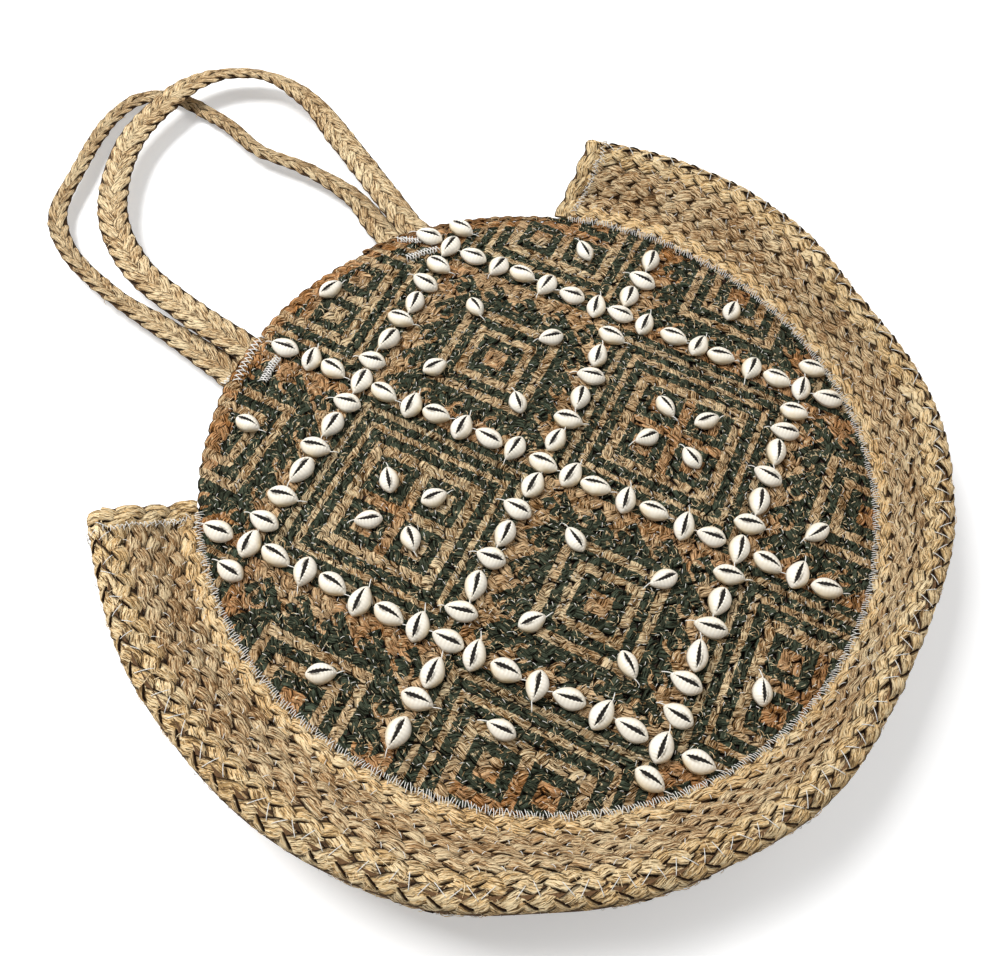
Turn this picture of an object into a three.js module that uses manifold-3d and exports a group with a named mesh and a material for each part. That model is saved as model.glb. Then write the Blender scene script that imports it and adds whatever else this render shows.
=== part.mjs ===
// Round straw tote bag of braided jute, lying on its back with the mouth towards +Y.
// Millimetres, +Z up. The origin is the centre of the back panel's outer face, which rests on the floor.
// Two round panels are joined by a gusset of eleven braid rows, which is folded outwards at its middle row.
import * as THREE from "three";
import { mergeVertices } from "three/addons/utils/BufferGeometryUtils.js";
import Module from "manifold-3d";

const wasm = await Module();
wasm.setup();

// Driving dimensions
const PANEL_RADIUS = 210;
const PANEL_THICKNESS = 8;
const EDGE_THICKNESS = 5.5;
const EDGE_BEVEL = 4;
const MOUTH_HALF_ANGLE = 51.5;
const SEAM_GAP = 0.3;
const STRAP_WIDTH = 23;
const STRAP_THICKNESS = 6.5;
const STRAP_FLATNESS_RATIO = 1.6;
const STRAP_GAP = 0.35;
const SEWN_LENGTH = 38;
const FOLD_INSET = 3.5;
const ROW_THICKNESS = 7;
const UPPER_ROWS = 5;
const LOWER_ROWS = 5;
const FOLD_ROW_WIDTH = 12;
const FOLD_RADIUS = 6.5;
const FOLD_TURNS = [135, 90, 45, 0];
const HEM_WIDTH = 9;
const HEM_GAP = 0.5;
const CREST_LEAN_ANGLE = 4;
const CREST_REACH = 55;
const CREST_RISE = 33;
const SHELL_LENGTH = 19;
const SHELL_WIDTH = 13;
const SHELL_HEIGHT = 6.5;
const CROSSING_INSET = 26.15;
const SHELLS_PER_CELL = 7;
const SHELL_GRID_ANGLE = -72.9;
const SHELL_RIM_MARGIN = 1;
const CLOSE_GROUP = 14.5;
const WIDE_GROUP = 29;
const THREAD = 1.2;

// Crest of the gusset by direction: [degrees, share of its reach past the rim, share of its rise]
const CREST = [
  [141.5, 1, 1], [205, 1, 1], [222, 0.855, 1], [250, 0.727, 1.03], [280, 0.491, 1.12],
  [305, 0.618, 1.06], [322, 0.727, 1], [343, 0.655, 1], [364, 0.909, 1], [375, 0.964, 1], [398.5, 0.927, 1],
];

// Walls of the gusset between its crest and its rims: [share of the reach, share of the rise]
const UPPER_WALL = [[0.3, 0.22], [0.5, 0.6]];
const LOWER_WALL = [[0.93, 0.6], [0.6, 0.27]];

// Middle line of each handle, left sewn end to right: [x, y, height, roll in degrees where it isn't flat]
const FRONT_ROUTE = [
  [-68, 0, 0], [-75, 49, 0], [-76, 104, 0], [-57, 156, 0], [-4, 206, 0], [50, 223, 1], [74, 224, 1],
  [98, 215, 0.5, -30], [119, 191, 0, -40], [124, 150, 0, -25], [111, 93, 0], [96, 34, 0], [87, 0, 0],
];
const BACK_ROUTE = [
  [-86, 0, 0], [-92, 51, -2, 15], [-100, 105, -1, 50], [-98, 155, -0.5, 55], [-83, 189, -0.5, 55],
  [-45, 217, -1, 45], [3, 246, -3, 30], [35, 253, -5, 5], [55, 241, -6], [62, 222, -6], [65, 203, -6, -3],
  [66, 180, -3, -30], [64, 140, -1, -50], [77, 99, -1, -45], [84, 56, -4, -5], [76, 20, -3], [72, 0, 0],
];

// Shells of the inner cells: [along and across in cells, spread of the four shells], moved as the print is
const GROUP_SHIFT = [2, -3.5];
const GROUPS = [
  [-0.5, -0.5, CLOSE_GROUP], [0.5, 0.5, CLOSE_GROUP], [-0.5, 0.5, WIDE_GROUP], [0.5, -0.5, WIDE_GROUP],
];

// Single shells of the outer cells: [along, across, turn in degrees], as shares of singleFar
const SINGLES = [
  [-1.08, 0.33, 75], [-1.03, -0.35, 0], [1, 0.19, 45], [1, -0.46, 115],
  [-0.27, 1.02, 135], [0.39, 1.01, 90], [-0.31, -1.04, 40], [0.29, -0.94, 0],
];

// Sizes worked out from the driving dimensions
const backTop = PANEL_THICKNESS;
const backStrapTop = backTop + STRAP_GAP + STRAP_THICKNESS;
const frontStrapTop = backStrapTop + STRAP_GAP + STRAP_THICKNESS;
const frontBottom = frontStrapTop + STRAP_GAP;
const frontTop = frontBottom + PANEL_THICKNESS;
const backMiddle = PANEL_THICKNESS / 2;
const frontMiddle = frontBottom + PANEL_THICKNESS / 2;
const backStrapMiddle = backStrapTop - STRAP_THICKNESS / 2;
const frontStrapMiddle = frontStrapTop - STRAP_THICKNESS / 2;
const foldLine = PANEL_RADIUS - FOLD_INSET;
const hemAngle = THREE.MathUtils.radToDeg(HEM_WIDTH / PANEL_RADIUS);
const gapAngle = THREE.MathUtils.radToDeg(HEM_GAP / PANEL_RADIUS);
const gussetHalfAngle = 180 - MOUTH_HALF_ANGLE - hemAngle - gapAngle;
const seamShare = EDGE_THICKNESS / PANEL_THICKNESS;
const shellGrid = (PANEL_RADIUS - CROSSING_INSET) / Math.SQRT2;
const shellPitch = shellGrid / SHELLS_PER_CELL;
const singleFar = (shellGrid + PANEL_RADIUS) / 2;

// Directions and steps
const BOTTOM_ANGLE = 270;
const MOUTH_ANGLE = 90;
const RIM_SHARE = 0.001;
const GUSSET_STEPS = 30;
const MOUTH_STEPS = 12;

// Materials
const straw = (colour) => new THREE.MeshStandardMaterial({ color: colour, roughness: 0.9, metalness: 0 });
const jute = straw(0xb08a58);
const paleJute = straw(0xc09a66);
const printedJute = straw(0x3c4a36);
const shellWhite = new THREE.MeshStandardMaterial({ color: 0xeee6d6, roughness: 0.35, metalness: 0 });

const bag = new THREE.Group();

function addPiece(name, geometry, material) {
  const mesh = new THREE.Mesh(geometry, material);
  mesh.name = name;
  bag.add(mesh);
  return mesh;
}

// Closed solid through a list of rings, each with the same number of points, ends closed by flat fans.
// The last side is split along its other diagonal, so the facing sides of two neighbouring rows match.
function loft(rings) {
  const count = rings[0].length;
  const positions = rings.flat().flatMap((point) => [point.x, point.y, point.z]);
  const faces = [];
  for (let ring = 0; ring + 1 < rings.length; ring += 1) {
    for (let i = 0; i < count; i += 1) {
      const a = ring * count + i;
      const b = ring * count + ((i + 1) % count);
      if (i === count - 1) {
        faces.push(a, b, a + count, b, b + count, a + count);
      } else {
        faces.push(a, b, b + count, a, b + count, a + count);
      }
    }
  }
  const last = (rings.length - 1) * count;
  for (let i = 1; i + 1 < count; i += 1) {
    faces.push(0, i + 1, i, last, last + i, last + i + 1);
  }
  if (signedVolume(positions, faces) < 0) {
    faces.reverse();
  }
  const geometry = new THREE.BufferGeometry();
  geometry.setAttribute("position", new THREE.Float32BufferAttribute(positions, 3));
  geometry.setIndex(faces);
  geometry.computeVertexNormals();
  return geometry;
}

function signedVolume(positions, faces) {
  const corner = (index) => new THREE.Vector3().fromArray(positions, index * 3);
  let volume = 0;
  for (let i = 0; i < faces.length; i += 3) {
    volume += corner(faces[i]).dot(corner(faces[i + 1]).cross(corner(faces[i + 2]))) / 6;
  }
  return volume;
}

function polar(angle, radius, z) {
  const turn = THREE.MathUtils.degToRad(angle);
  return new THREE.Vector3(radius * Math.cos(turn), radius * Math.sin(turn), z);
}

// Panels: round discs whose corners share the gusset's stations, so the seam gap is the same all along
function rimAngles() {
  const angles = [];
  for (let i = 0; i <= GUSSET_STEPS; i += 1) {
    angles.push(BOTTOM_ANGLE + gussetHalfAngle * ((2 * i) / GUSSET_STEPS - 1));
  }
  const mouthHalf = 180 - gussetHalfAngle;
  for (let i = 1; i < MOUTH_STEPS; i += 1) {
    angles.push(MOUTH_ANGLE + 360 + mouthHalf * ((2 * i) / MOUTH_STEPS - 1));
  }
  return angles;
}

function panelDisc(bottom) {
  const rimRadius = PANEL_RADIUS - SEAM_GAP / 2;
  const faceRadius = PANEL_RADIUS - EDGE_BEVEL;
  const edgeInset = (PANEL_THICKNESS - EDGE_THICKNESS) / 2;
  const ring = (radius, z) => rimAngles().map((angle) => polar(angle, radius, z));
  return loft([
    ring(faceRadius, bottom),
    ring(rimRadius, bottom + edgeInset),
    ring(rimRadius, bottom + PANEL_THICKNESS - edgeInset),
    ring(faceRadius, bottom + PANEL_THICKNESS),
  ]);
}

addPiece("back_panel", panelDisc(0), jute);
addPiece("front_panel", panelDisc(frontBottom), printedJute);

// Gusset: the middle line of the band from the front rim, out over the crest and back in to the back rim
function crestAt(angle) {
  const turn = THREE.MathUtils.clamp(angle, CREST[0][0], CREST[CREST.length - 1][0]);
  const after = Math.max(1, CREST.findIndex((station) => station[0] >= turn));
  const [fromAngle, fromReach, fromRise] = CREST[after - 1];
  const [toAngle, toReach, toRise] = CREST[after];
  const share = (1 - Math.cos((Math.PI * (turn - fromAngle)) / (toAngle - fromAngle))) / 2;
  const reach = CREST_REACH * THREE.MathUtils.lerp(fromReach, toReach, share);
  const rise = CREST_RISE * THREE.MathUtils.lerp(fromRise, toRise, share);
  return { reach: reach - ROW_THICKNESS / 2, height: frontTop + rise - ROW_THICKNESS / 2 };
}

function bandProfile(angle) {
  const { reach, height } = crestAt(angle);
  const above = (share) => frontMiddle + (height - frontMiddle) * share;
  const below = (share) => backMiddle + (height - backMiddle) * share;
  const foldPoints = FOLD_TURNS.map((turn) => {
    const around = THREE.MathUtils.degToRad(turn);
    return [
      reach - FOLD_RADIUS + FOLD_RADIUS * Math.cos(around),
      height - FOLD_RADIUS + FOLD_RADIUS * Math.sin(around),
    ];
  });
  const points = [
    [0, frontMiddle],
    ...UPPER_WALL.map(([out, rise]) => [reach * out, above(rise)]),
    ...foldPoints,
    ...LOWER_WALL.map(([out, rise]) => [reach * out, below(rise)]),
    [0, backMiddle],
  ];
  const corners = points.map(([out, z]) => new THREE.Vector3(PANEL_RADIUS + out, 0, z));
  const curve = new THREE.CatmullRomCurve3(corners, false, "centripetal");
  const stepsPerPoint = 10;
  const crestPoint = 1 + UPPER_WALL.length + FOLD_TURNS.indexOf(90);
  const lengths = curve.getLengths(stepsPerPoint * (points.length - 1));
  return { curve, whole: lengths[lengths.length - 1], crest: lengths[stepsPerPoint * crestPoint] };
}

// Distances along the middle line where two rows meet
function rowSeams({ whole, crest }) {
  const foldEnd = crest + FOLD_ROW_WIDTH;
  const seams = [];
  for (let i = 0; i <= UPPER_ROWS; i += 1) {
    seams.push((crest * i) / UPPER_ROWS);
  }
  for (let i = 0; i <= LOWER_ROWS; i += 1) {
    seams.push(foldEnd + ((whole - foldEnd) * i) / LOWER_ROWS);
  }
  return seams;
}

// Point on the band, by the station's share of the half angle, distance along and height off the middle line
function bandPoint(profile, share, along, offset) {
  const at = THREE.MathUtils.clamp(along / profile.whole, 0, 1);
  const point = profile.curve.getPointAt(at);
  const tangent = profile.curve.getTangentAt(at);
  const normal = new THREE.Vector3(-tangent.z, 0, tangent.x);
  if (Math.min(at, 1 - at) < RIM_SHARE) {
    normal.set(0, 0, at < RIM_SHARE ? 1 : -1);
  }
  point.addScaledVector(normal, offset);
  const lean = CREST_LEAN_ANGLE * Math.sin(Math.PI * at);
  const angle = BOTTOM_ANGLE + share * (gussetHalfAngle - lean);
  return polar(angle, point.x, point.z);
}

function rowSection(share, row) {
  const profile = bandProfile(BOTTOM_ANGLE + share * gussetHalfAngle);
  const seams = rowSeams(profile);
  const start = seams[row];
  const end = seams[row + 1];
  const thin = (ROW_THICKNESS * seamShare) / 2;
  const thick = ROW_THICKNESS / 2;
  const inset = SEAM_GAP / 2;
  const sections = [
    [start, thin, inset], [(start + end) / 2, thick, 0], [end, thin, -inset],
    [end, -thin, -inset], [(start + end) / 2, -thick, 0], [start, -thin, inset],
  ];
  return sections.map(([along, offset, shift]) => {
    const point = bandPoint(profile, share, along, offset);
    if (shift === 0) {
      return point;
    }
    const ahead = bandPoint(profile, share, along + inset, 0);
    const behind = bandPoint(profile, share, along - inset, 0);
    return point.addScaledVector(ahead.sub(behind).normalize(), shift);
  });
}

const rowCount = UPPER_ROWS + 1 + LOWER_ROWS;
for (let row = 0; row < rowCount; row += 1) {
  const rings = [];
  for (let i = 0; i <= GUSSET_STEPS; i += 1) {
    rings.push(rowSection((2 * i) / GUSSET_STEPS - 1, row));
  }
  const name = `gusset_row_${String(row + 1).padStart(2, "0")}`;
  addPiece(name, loft(rings), row < UPPER_ROWS ? paleJute : jute);
}

// Hems: a flat braid over each end of the gusset, in a front half and a back half that meet at the crest
const HEM_STEPS = 9;

function hem(side, fromFront) {
  const profile = bandProfile(BOTTOM_ANGLE + side * gussetHalfAngle);
  const start = fromFront ? 0 : profile.crest + SEAM_GAP / 2;
  const end = fromFront ? profile.crest - SEAM_GAP / 2 : profile.whole;
  const inner = side * (1 + gapAngle / gussetHalfAngle);
  const outer = side * (1 + (gapAngle + hemAngle) / gussetHalfAngle);
  const half = ROW_THICKNESS / 2;
  const rings = [];
  for (let i = 0; i <= HEM_STEPS; i += 1) {
    const along = start + ((end - start) * i) / HEM_STEPS;
    const rimInset = Math.max(0, 1 - Math.min(along, profile.whole - along)) * SEAM_GAP;
    const ring = [
      bandPoint(profile, inner, along, half), bandPoint(profile, outer, along, half),
      bandPoint(profile, outer, along, -half), bandPoint(profile, inner, along, -half),
    ];
    rings.push(ring.map((point) => {
      const outwards = new THREE.Vector3(point.x, point.y, 0).normalize();
      return point.addScaledVector(outwards, rimInset);
    }));
  }
  return loft(rings);
}

for (const [side, word] of [[-1, "left"], [1, "right"]]) {
  addPiece(`${word}_hem_front_half`, hem(side, true), paleJute);
  addPiece(`${word}_hem_back_half`, hem(side, false), jute);
}

// Handles: a flat oval strap along a smooth curve, which starts and ends at the fold line by the mouth
const STRAP_SIDES = 8;
const STRAP_STEPS = 50;

function handle(route, middle) {
  const points = route.map(([x, y, z]) => new THREE.Vector3(x, foldLine + SEAM_GAP + y, middle + z));
  const rolls = route.map((station) => station[3] ?? 0);
  const curve = new THREE.CatmullRomCurve3(points, false, "centripetal");
  const up = new THREE.Vector3(0, 0, 1);
  const rings = [];
  for (let i = 0; i <= STRAP_STEPS; i += 1) {
    const t = i / STRAP_STEPS;
    const atEnd = i === 0 || i === STRAP_STEPS;
    const tangent = atEnd ? new THREE.Vector3(0, i === 0 ? 1 : -1, 0) : curve.getTangent(t);
    const place = t * (route.length - 1);
    const before = Math.min(Math.floor(place), route.length - 2);
    const part = place - before;
    const ease = part * part * (3 - 2 * part);
    const roll = rolls[before] + (rolls[before + 1] - rolls[before]) * ease;
    const across = new THREE.Vector3().crossVectors(tangent, up).normalize();
    const turn = new THREE.Quaternion().setFromAxisAngle(tangent, THREE.MathUtils.degToRad(roll));
    const wide = across.applyQuaternion(turn);
    const deep = new THREE.Vector3().crossVectors(wide, tangent).normalize();
    const centre = curve.getPoint(t);
    const ring = [];
    for (let k = 0; k < STRAP_SIDES; k += 1) {
      const angle = (2 * Math.PI * (k + 0.5)) / STRAP_SIDES;
      const reach = 1 / Math.cos(Math.PI / STRAP_SIDES);
      const wideShare = THREE.MathUtils.clamp(Math.cos(angle) * reach * STRAP_FLATNESS_RATIO, -1, 1);
      const deepShare = THREE.MathUtils.clamp(Math.sin(angle) * reach, -1, 1);
      ring.push(centre.clone()
        .addScaledVector(wide, (wideShare * STRAP_WIDTH) / 2)
        .addScaledVector(deep, (deepShare * STRAP_THICKNESS) / 2));
    }
    rings.push(ring);
  }
  return loft(rings);
}

// Sewn ends: the straight last stretch of each strap, held between the panels by two rows of stitches
function sewnEnd(x, middle) {
  const box = new THREE.BoxGeometry(STRAP_WIDTH, SEWN_LENGTH, STRAP_THICKNESS);
  return box.translate(x, foldLine - SEAM_GAP - SEWN_LENGTH / 2, middle);
}

for (const [word, route, middle] of [
  ["front", FRONT_ROUTE, frontStrapMiddle],
  ["back", BACK_ROUTE, backStrapMiddle],
]) {
  addPiece(`${word}_handle`, handle(route, middle), paleJute);
  addPiece(`${word}_handle_left_end`, sewnEnd(route[0][0], middle), paleJute);
  addPiece(`${word}_handle_right_end`, sewnEnd(route[route.length - 1][0], middle), paleJute);
}

// Cowrie shells: low domes sewn to the front panel, those of one line or group held by one thread
const SHELL_SIDES = 6;
const shellFloor = frontTop + SEAM_GAP;
const gridTurn = THREE.MathUtils.degToRad(SHELL_GRID_ANGLE);

function onGrid(along, across) {
  return new THREE.Vector2(along, across).rotateAround(new THREE.Vector2(), gridTurn);
}

function toSolid(geometry) {
  const bare = geometry.clone();
  bare.deleteAttribute("normal");
  bare.deleteAttribute("uv");
  const merged = mergeVertices(bare, 1e-4);
  return new wasm.Manifold(new wasm.Mesh({
    numProp: 3,
    vertProperties: new Float32Array(merged.attributes.position.array),
    triVerts: new Uint32Array(merged.index.array),
  }));
}

function toGeometry(solid) {
  const mesh = solid.getMesh();
  const geometry = new THREE.BufferGeometry();
  geometry.setAttribute("position", new THREE.Float32BufferAttribute(mesh.vertProperties, 3));
  geometry.setIndex(Array.from(mesh.triVerts));
  geometry.computeVertexNormals();
  return geometry;
}

function shellDome(along, across, turnDegrees) {
  const rings = [[0.92, 0], [1, 0.35], [0.45, 1]].map(([share, rise]) => {
    const ring = [];
    for (let k = 0; k < SHELL_SIDES; k += 1) {
      const angle = (2 * Math.PI * k) / SHELL_SIDES;
      ring.push(new THREE.Vector3(
        (share * SHELL_LENGTH * Math.cos(angle)) / 2,
        (share * SHELL_WIDTH * Math.sin(angle)) / 2,
        rise * SHELL_HEIGHT,
      ));
    }
    return ring;
  });
  const centre = onGrid(along, across);
  return loft(rings)
    .rotateZ(gridTurn + THREE.MathUtils.degToRad(turnDegrees))
    .translate(centre.x, centre.y, shellFloor);
}

function threadBetween(from, to) {
  const a = onGrid(...from);
  const b = onGrid(...to);
  const length = a.distanceTo(b);
  return new THREE.BoxGeometry(length, THREAD, THREAD)
    .rotateZ(Math.atan2(b.y - a.y, b.x - a.x))
    .translate((a.x + b.x) / 2, (a.y + b.y) / 2, shellFloor + SEAM_GAP + THREAD / 2);
}

function joined(geometries) {
  const solids = geometries.map(toSolid);
  return toGeometry(solids.slice(1).reduce((sum, solid) => sum.add(solid), solids[0]));
}

const shellReach = PANEL_RADIUS - SHELL_LENGTH / 2 - SHELL_RIM_MARGIN;
const shellFits = (along, across) => Math.hypot(along, across) <= shellReach;

// Shells lie by turns along their line and across it, counted outwards from each crossing on a cross line
const lineTurn = (step) => (step % 2 === 0 ? 0 : 90);

function crossLineTurn(line, step) {
  const place = Math.abs(step) % SHELLS_PER_CELL;
  const besideOuterCrossing = line !== 0 && place === SHELLS_PER_CELL - 1;
  return besideOuterCrossing ? 0 : lineTurn(place + line * SHELLS_PER_CELL);
}

function lineOfShells(name, places) {
  if (places.length === 0) {
    return;
  }
  const shells = places.map(({ along, across, turn }) => shellDome(along, across, turn));
  const first = places[0];
  const last = places[places.length - 1];
  if (places.length > 1) {
    shells.push(threadBetween([first.along, first.across], [last.along, last.across]));
  }
  addPiece(name, joined(shells), shellWhite);
}

const lineSteps = [];
const stepsPerSide = Math.floor(PANEL_RADIUS / shellPitch);
for (let step = -stepsPerSide; step <= stepsPerSide; step += 1) {
  lineSteps.push(step);
}

for (const [line, across] of [[1, shellGrid], [2, 0], [3, -shellGrid]]) {
  const places = lineSteps
    .map((step) => ({ along: step * shellPitch, across, turn: lineTurn(step) }))
    .filter((place) => shellFits(place.along, place.across));
  lineOfShells(`shell_line_${line}`, places);
}

for (const line of [-1, 0, 1]) {
  for (const cell of [-2, -1, 0, 1]) {
    const along = line * shellGrid;
    const places = lineSteps
      .filter((step) => step > cell * SHELLS_PER_CELL && step < (cell + 1) * SHELLS_PER_CELL)
      .map((step) => ({ along, across: step * shellPitch, turn: crossLineTurn(line, step) }))
      .filter((place) => shellFits(place.along, place.across));
    lineOfShells(`shell_cross_line_${line + 2}_part_${cell + 3}`, places);
  }
}

// Groups of four shells in the inner cells, close together in two cells and wide apart in the others
GROUPS.forEach(([along, across, spread], index) => {
  const corners = [[-1, -1], [1, -1], [1, 1], [-1, 1]].map(([a, b]) => [
    along * shellGrid + GROUP_SHIFT[0] + a * spread,
    across * shellGrid + GROUP_SHIFT[1] + b * spread,
  ]);
  const shells = corners.map(([a, b], k) => shellDome(a, b, 45 + 90 * k));
  const threads = [threadBetween(corners[0], corners[2]), threadBetween(corners[1], corners[3])];
  addPiece(`shell_group_${index + 1}`, joined([...shells, ...threads]), shellWhite);
});

// One shell in each outer cell
SINGLES.forEach(([along, across, turn], index) => {
  addPiece(`single_shell_${index + 1}`, shellDome(along * singleFar, across * singleFar, turn), shellWhite);
});

export default bag;
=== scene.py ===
"""Round straw tote bag: braids, print, shells and stitching over the packed frame."""
import math
from functools import cache

import bmesh
import bpy
import numpy as np
from bpy.props import FloatProperty, FloatVectorProperty, IntProperty, PointerProperty
from mathutils import Matrix, Vector


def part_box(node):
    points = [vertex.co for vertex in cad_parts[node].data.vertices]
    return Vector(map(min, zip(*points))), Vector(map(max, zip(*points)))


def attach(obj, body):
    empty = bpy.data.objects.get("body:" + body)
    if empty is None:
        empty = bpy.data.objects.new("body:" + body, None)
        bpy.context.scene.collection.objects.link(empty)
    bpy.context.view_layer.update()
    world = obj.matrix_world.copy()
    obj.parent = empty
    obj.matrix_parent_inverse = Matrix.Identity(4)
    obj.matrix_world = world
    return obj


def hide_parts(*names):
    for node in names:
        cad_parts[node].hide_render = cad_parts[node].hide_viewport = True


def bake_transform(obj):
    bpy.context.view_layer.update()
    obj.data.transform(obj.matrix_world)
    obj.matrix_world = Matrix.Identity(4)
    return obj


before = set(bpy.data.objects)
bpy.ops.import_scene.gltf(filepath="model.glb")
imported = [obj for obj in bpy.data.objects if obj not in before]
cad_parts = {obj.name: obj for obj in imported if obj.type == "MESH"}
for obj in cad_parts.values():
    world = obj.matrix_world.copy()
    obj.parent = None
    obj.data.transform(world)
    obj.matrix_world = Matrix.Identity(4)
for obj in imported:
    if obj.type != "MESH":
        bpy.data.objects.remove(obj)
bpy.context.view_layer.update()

bl_info = {
    "name": "Round straw tote bag",
    "version": (1, 0, 0),
    "blender": (4, 5, 0),
    "location": "3D View > Sidebar > Straw bag",
    "description": "Braids, prints and sews a round straw tote bag around its packed frame",
    "category": "Object",
}

MM = 0.001
UP = np.array([0, 0, 1.0])

# Places that the solids give, in metres
FRONT_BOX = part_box("front_panel")
BACK_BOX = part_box("back_panel")
PANEL_RADIUS = 0.210
FRONT_TOP = FRONT_BOX[1][2]
FRONT_MIDDLE = (FRONT_BOX[0][2] + FRONT_BOX[1][2]) / 2
BACK_MIDDLE = (BACK_BOX[0][2] + BACK_BOX[1][2]) / 2
FRONT_STRAP_MIDDLE = sum(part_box("front_handle_left_end")[i][2] for i in (0, 1)) / 2
BACK_STRAP_MIDDLE = sum(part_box("back_handle_left_end")[i][2] for i in (0, 1)) / 2

# Gusset band, as the solids have it: [degrees, share of the reach, share of the rise]
CREST = [
    (141.5, 1, 1), (205, 1, 1), (222, 0.855, 1), (250, 0.727, 1.03), (280, 0.491, 1.12),
    (305, 0.618, 1.06), (322, 0.727, 1), (343, 0.655, 1), (364, 0.909, 1), (375, 0.964, 1), (398.5, 0.927, 1),
]
CREST_REACH = 0.055
CREST_RISE = 0.033
CREST_LEAN = 4
# Painted light and shade: the flat first row is a lit golden copy of the jute, the inner wall rows a shaded
# grey copy, and the crest rows a lit pale copy
ROW_STRAWS = ("golden_jute", *["grey_jute"] * 3, *["pale_jute"] * 2, *["plain_jute"] * 5)
UPPER_ROWS = 5
FOLD_SEAM = 5
ROW_THICKNESS = 0.007
FOLD_ROW_WIDTH = 0.012
FOLD_RADIUS = 0.0065
FOLD_TURNS = (135, 90, 45, 0)
FOLD_BENDS = {4: 0.45, 5: 1.0, 6: 0.3}
UPPER_WALL = ((0.3, 0.22), (0.5, 0.6))
LOWER_WALL = ((0.93, 0.6), (0.6, 0.27))
MOUTH_HALF_ANGLE = 51.5
HEM_WIDTH = 0.009
HEM_ANGLE = math.degrees(HEM_WIDTH / PANEL_RADIUS)
HEM_GAP_ANGLE = math.degrees(0.0005 / PANEL_RADIUS)
GUSSET_HALF = 180 - MOUTH_HALF_ANGLE - HEM_ANGLE - HEM_GAP_ANGLE
BOTTOM_ANGLE = 270
BAND_STATIONS = 440
BAND_LENGTH = 1.05

# Handles
FOLD_LINE = 0.2065
SEAM_GAP = 0.0003
SEWN_LENGTH = 0.038
FRONT_BEND_START = -0.004
BACK_BEND_START = 0.002

# Middle line of each handle, in millimetres: [x, y past the fold line, height, roll in degrees, width share]
FRONT_ROUTE = [
    (-68, 0, 0, 0, 1), (-75, 49, 0, 0, 1), (-76, 104, 0, 0, 1), (-57, 156, 0, 0, 1), (-4, 206, 0, 0, 1),
    (50, 223, 1, 0, 1), (74, 224, 1, -8, 1), (98, 215, 0.5, -20, 1), (119, 191, 0, -26, 1),
    (124, 150, 0, -14, 1), (111, 93, 0, 0, 1), (96, 34, 0, 0, 1), (87, 0, 0, 0, 1),
]
BACK_ROUTE = [
    (-86, 0, 0, 0, 1), (-92, 51, -2, 14, 0.92), (-100, 105, -1, 22, 0.74), (-98, 155, -0.5, 14, 0.62),
    (-83, 189, -0.5, 0, 0.64), (-45, 217, -1, -12, 0.66), (3, 246, -3, -8, 0.68), (35, 253, -5, 0, 0.66),
    (55, 241, -6, 0, 0.64), (62, 222, -6, 0, 0.64), (65, 203, -6, 0, 0.64), (66, 180, -3, -6, 0.64),
    (64, 140, -1, -12, 0.66), (77, 99, -1, -10, 0.72), (84, 56, -4, -5, 0.82), (76, 20, -3, 0, 0.95),
    (72, 0, 0, 0, 1),
]
# Zigzag rows through the front panel: [angle from, angle to, radius from, radius to]
FRONT_HANDLE_ROWS = (
    (106.4, 116.9, 0.2055, 0.2025), (71.5, 66.1, 0.2055, 0.1955),
    (109.5, 115.5, 0.187, 0.187), (72.0, 65.0, 0.187, 0.187),
)
BACK_HANDLE_ROWS = (0.012, 0.031)

# Shells on the front panel, in millimetres along and across the shell grid
GRID_TURN = math.radians(-72.9)
SHELLS_PER_CELL = 7
SHELL_GRID = (210 - 26.15) / math.sqrt(2)
SHELL_PITCH = SHELL_GRID / SHELLS_PER_CELL
SHELL_REACH = 210 - 19 / 2 - 1
SHELL_FLOOR = FRONT_TOP + SEAM_GAP - 0.0004
SMALL_SHELL = 0.90
SHELL_THREAD = 0.0006
GROUP_SHIFT = (2, -3.5)
GROUPS = ((-0.5, -0.5, 14.5), (0.5, 0.5, 14.5), (-0.5, 0.5, 29), (0.5, -0.5, 29))
SINGLE_FAR = (SHELL_GRID + 210) / 2
SINGLES = (
    (-1.08, 0.33, 75), (-1.03, -0.35, 0), (1, 0.19, 45), (1, -0.46, 115),
    (-0.27, 1.02, 135), (0.39, 1.01, 90), (-0.31, -1.04, 40), (0.29, -0.94, 0),
)

# Print, in millimetres from the middle of a square cell: [from, to, share]
PRINT_CELL = 128.6
PRINT_SHIFT = (3.2, -5.3)
FIRST_LINES = ((30.5, 37.5, 1), (44.5, 48.5, 1), (54.5, 58.8, 0.75))
SECOND_LINES = ((15.0, 21.0, 1), (28.0, 34.0, 1))
PEAK_LENGTH = 23.4
FIELD_START = 41.0

ENDS = ((-1, "left"), (1, "right"))
SQUARE = ((-1, -1), (1, -1), (1, 1), (-1, 1))

# Stage: each light has a place, a power and a size
FLOOR_REACH = 1.6
FLOOR_HEIGHT = -0.0004
LIGHTS = (("key_light", (-0.3, 0.95, 1.55), 42, 0.8), ("fill_light", (1.2, -0.6, 1.3), 9, 1.4))
LIT_SPOT = (0, 0.05, 0.02)
CAMERA_PLACE = (-0.2540, -0.1568, 0.5374)
CAMERA_AXES = ((0.6764, -0.7342, 0.0591), (0.6241, 0.6139, 0.4833), (-0.3911, -0.2900, 0.8735))

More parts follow.
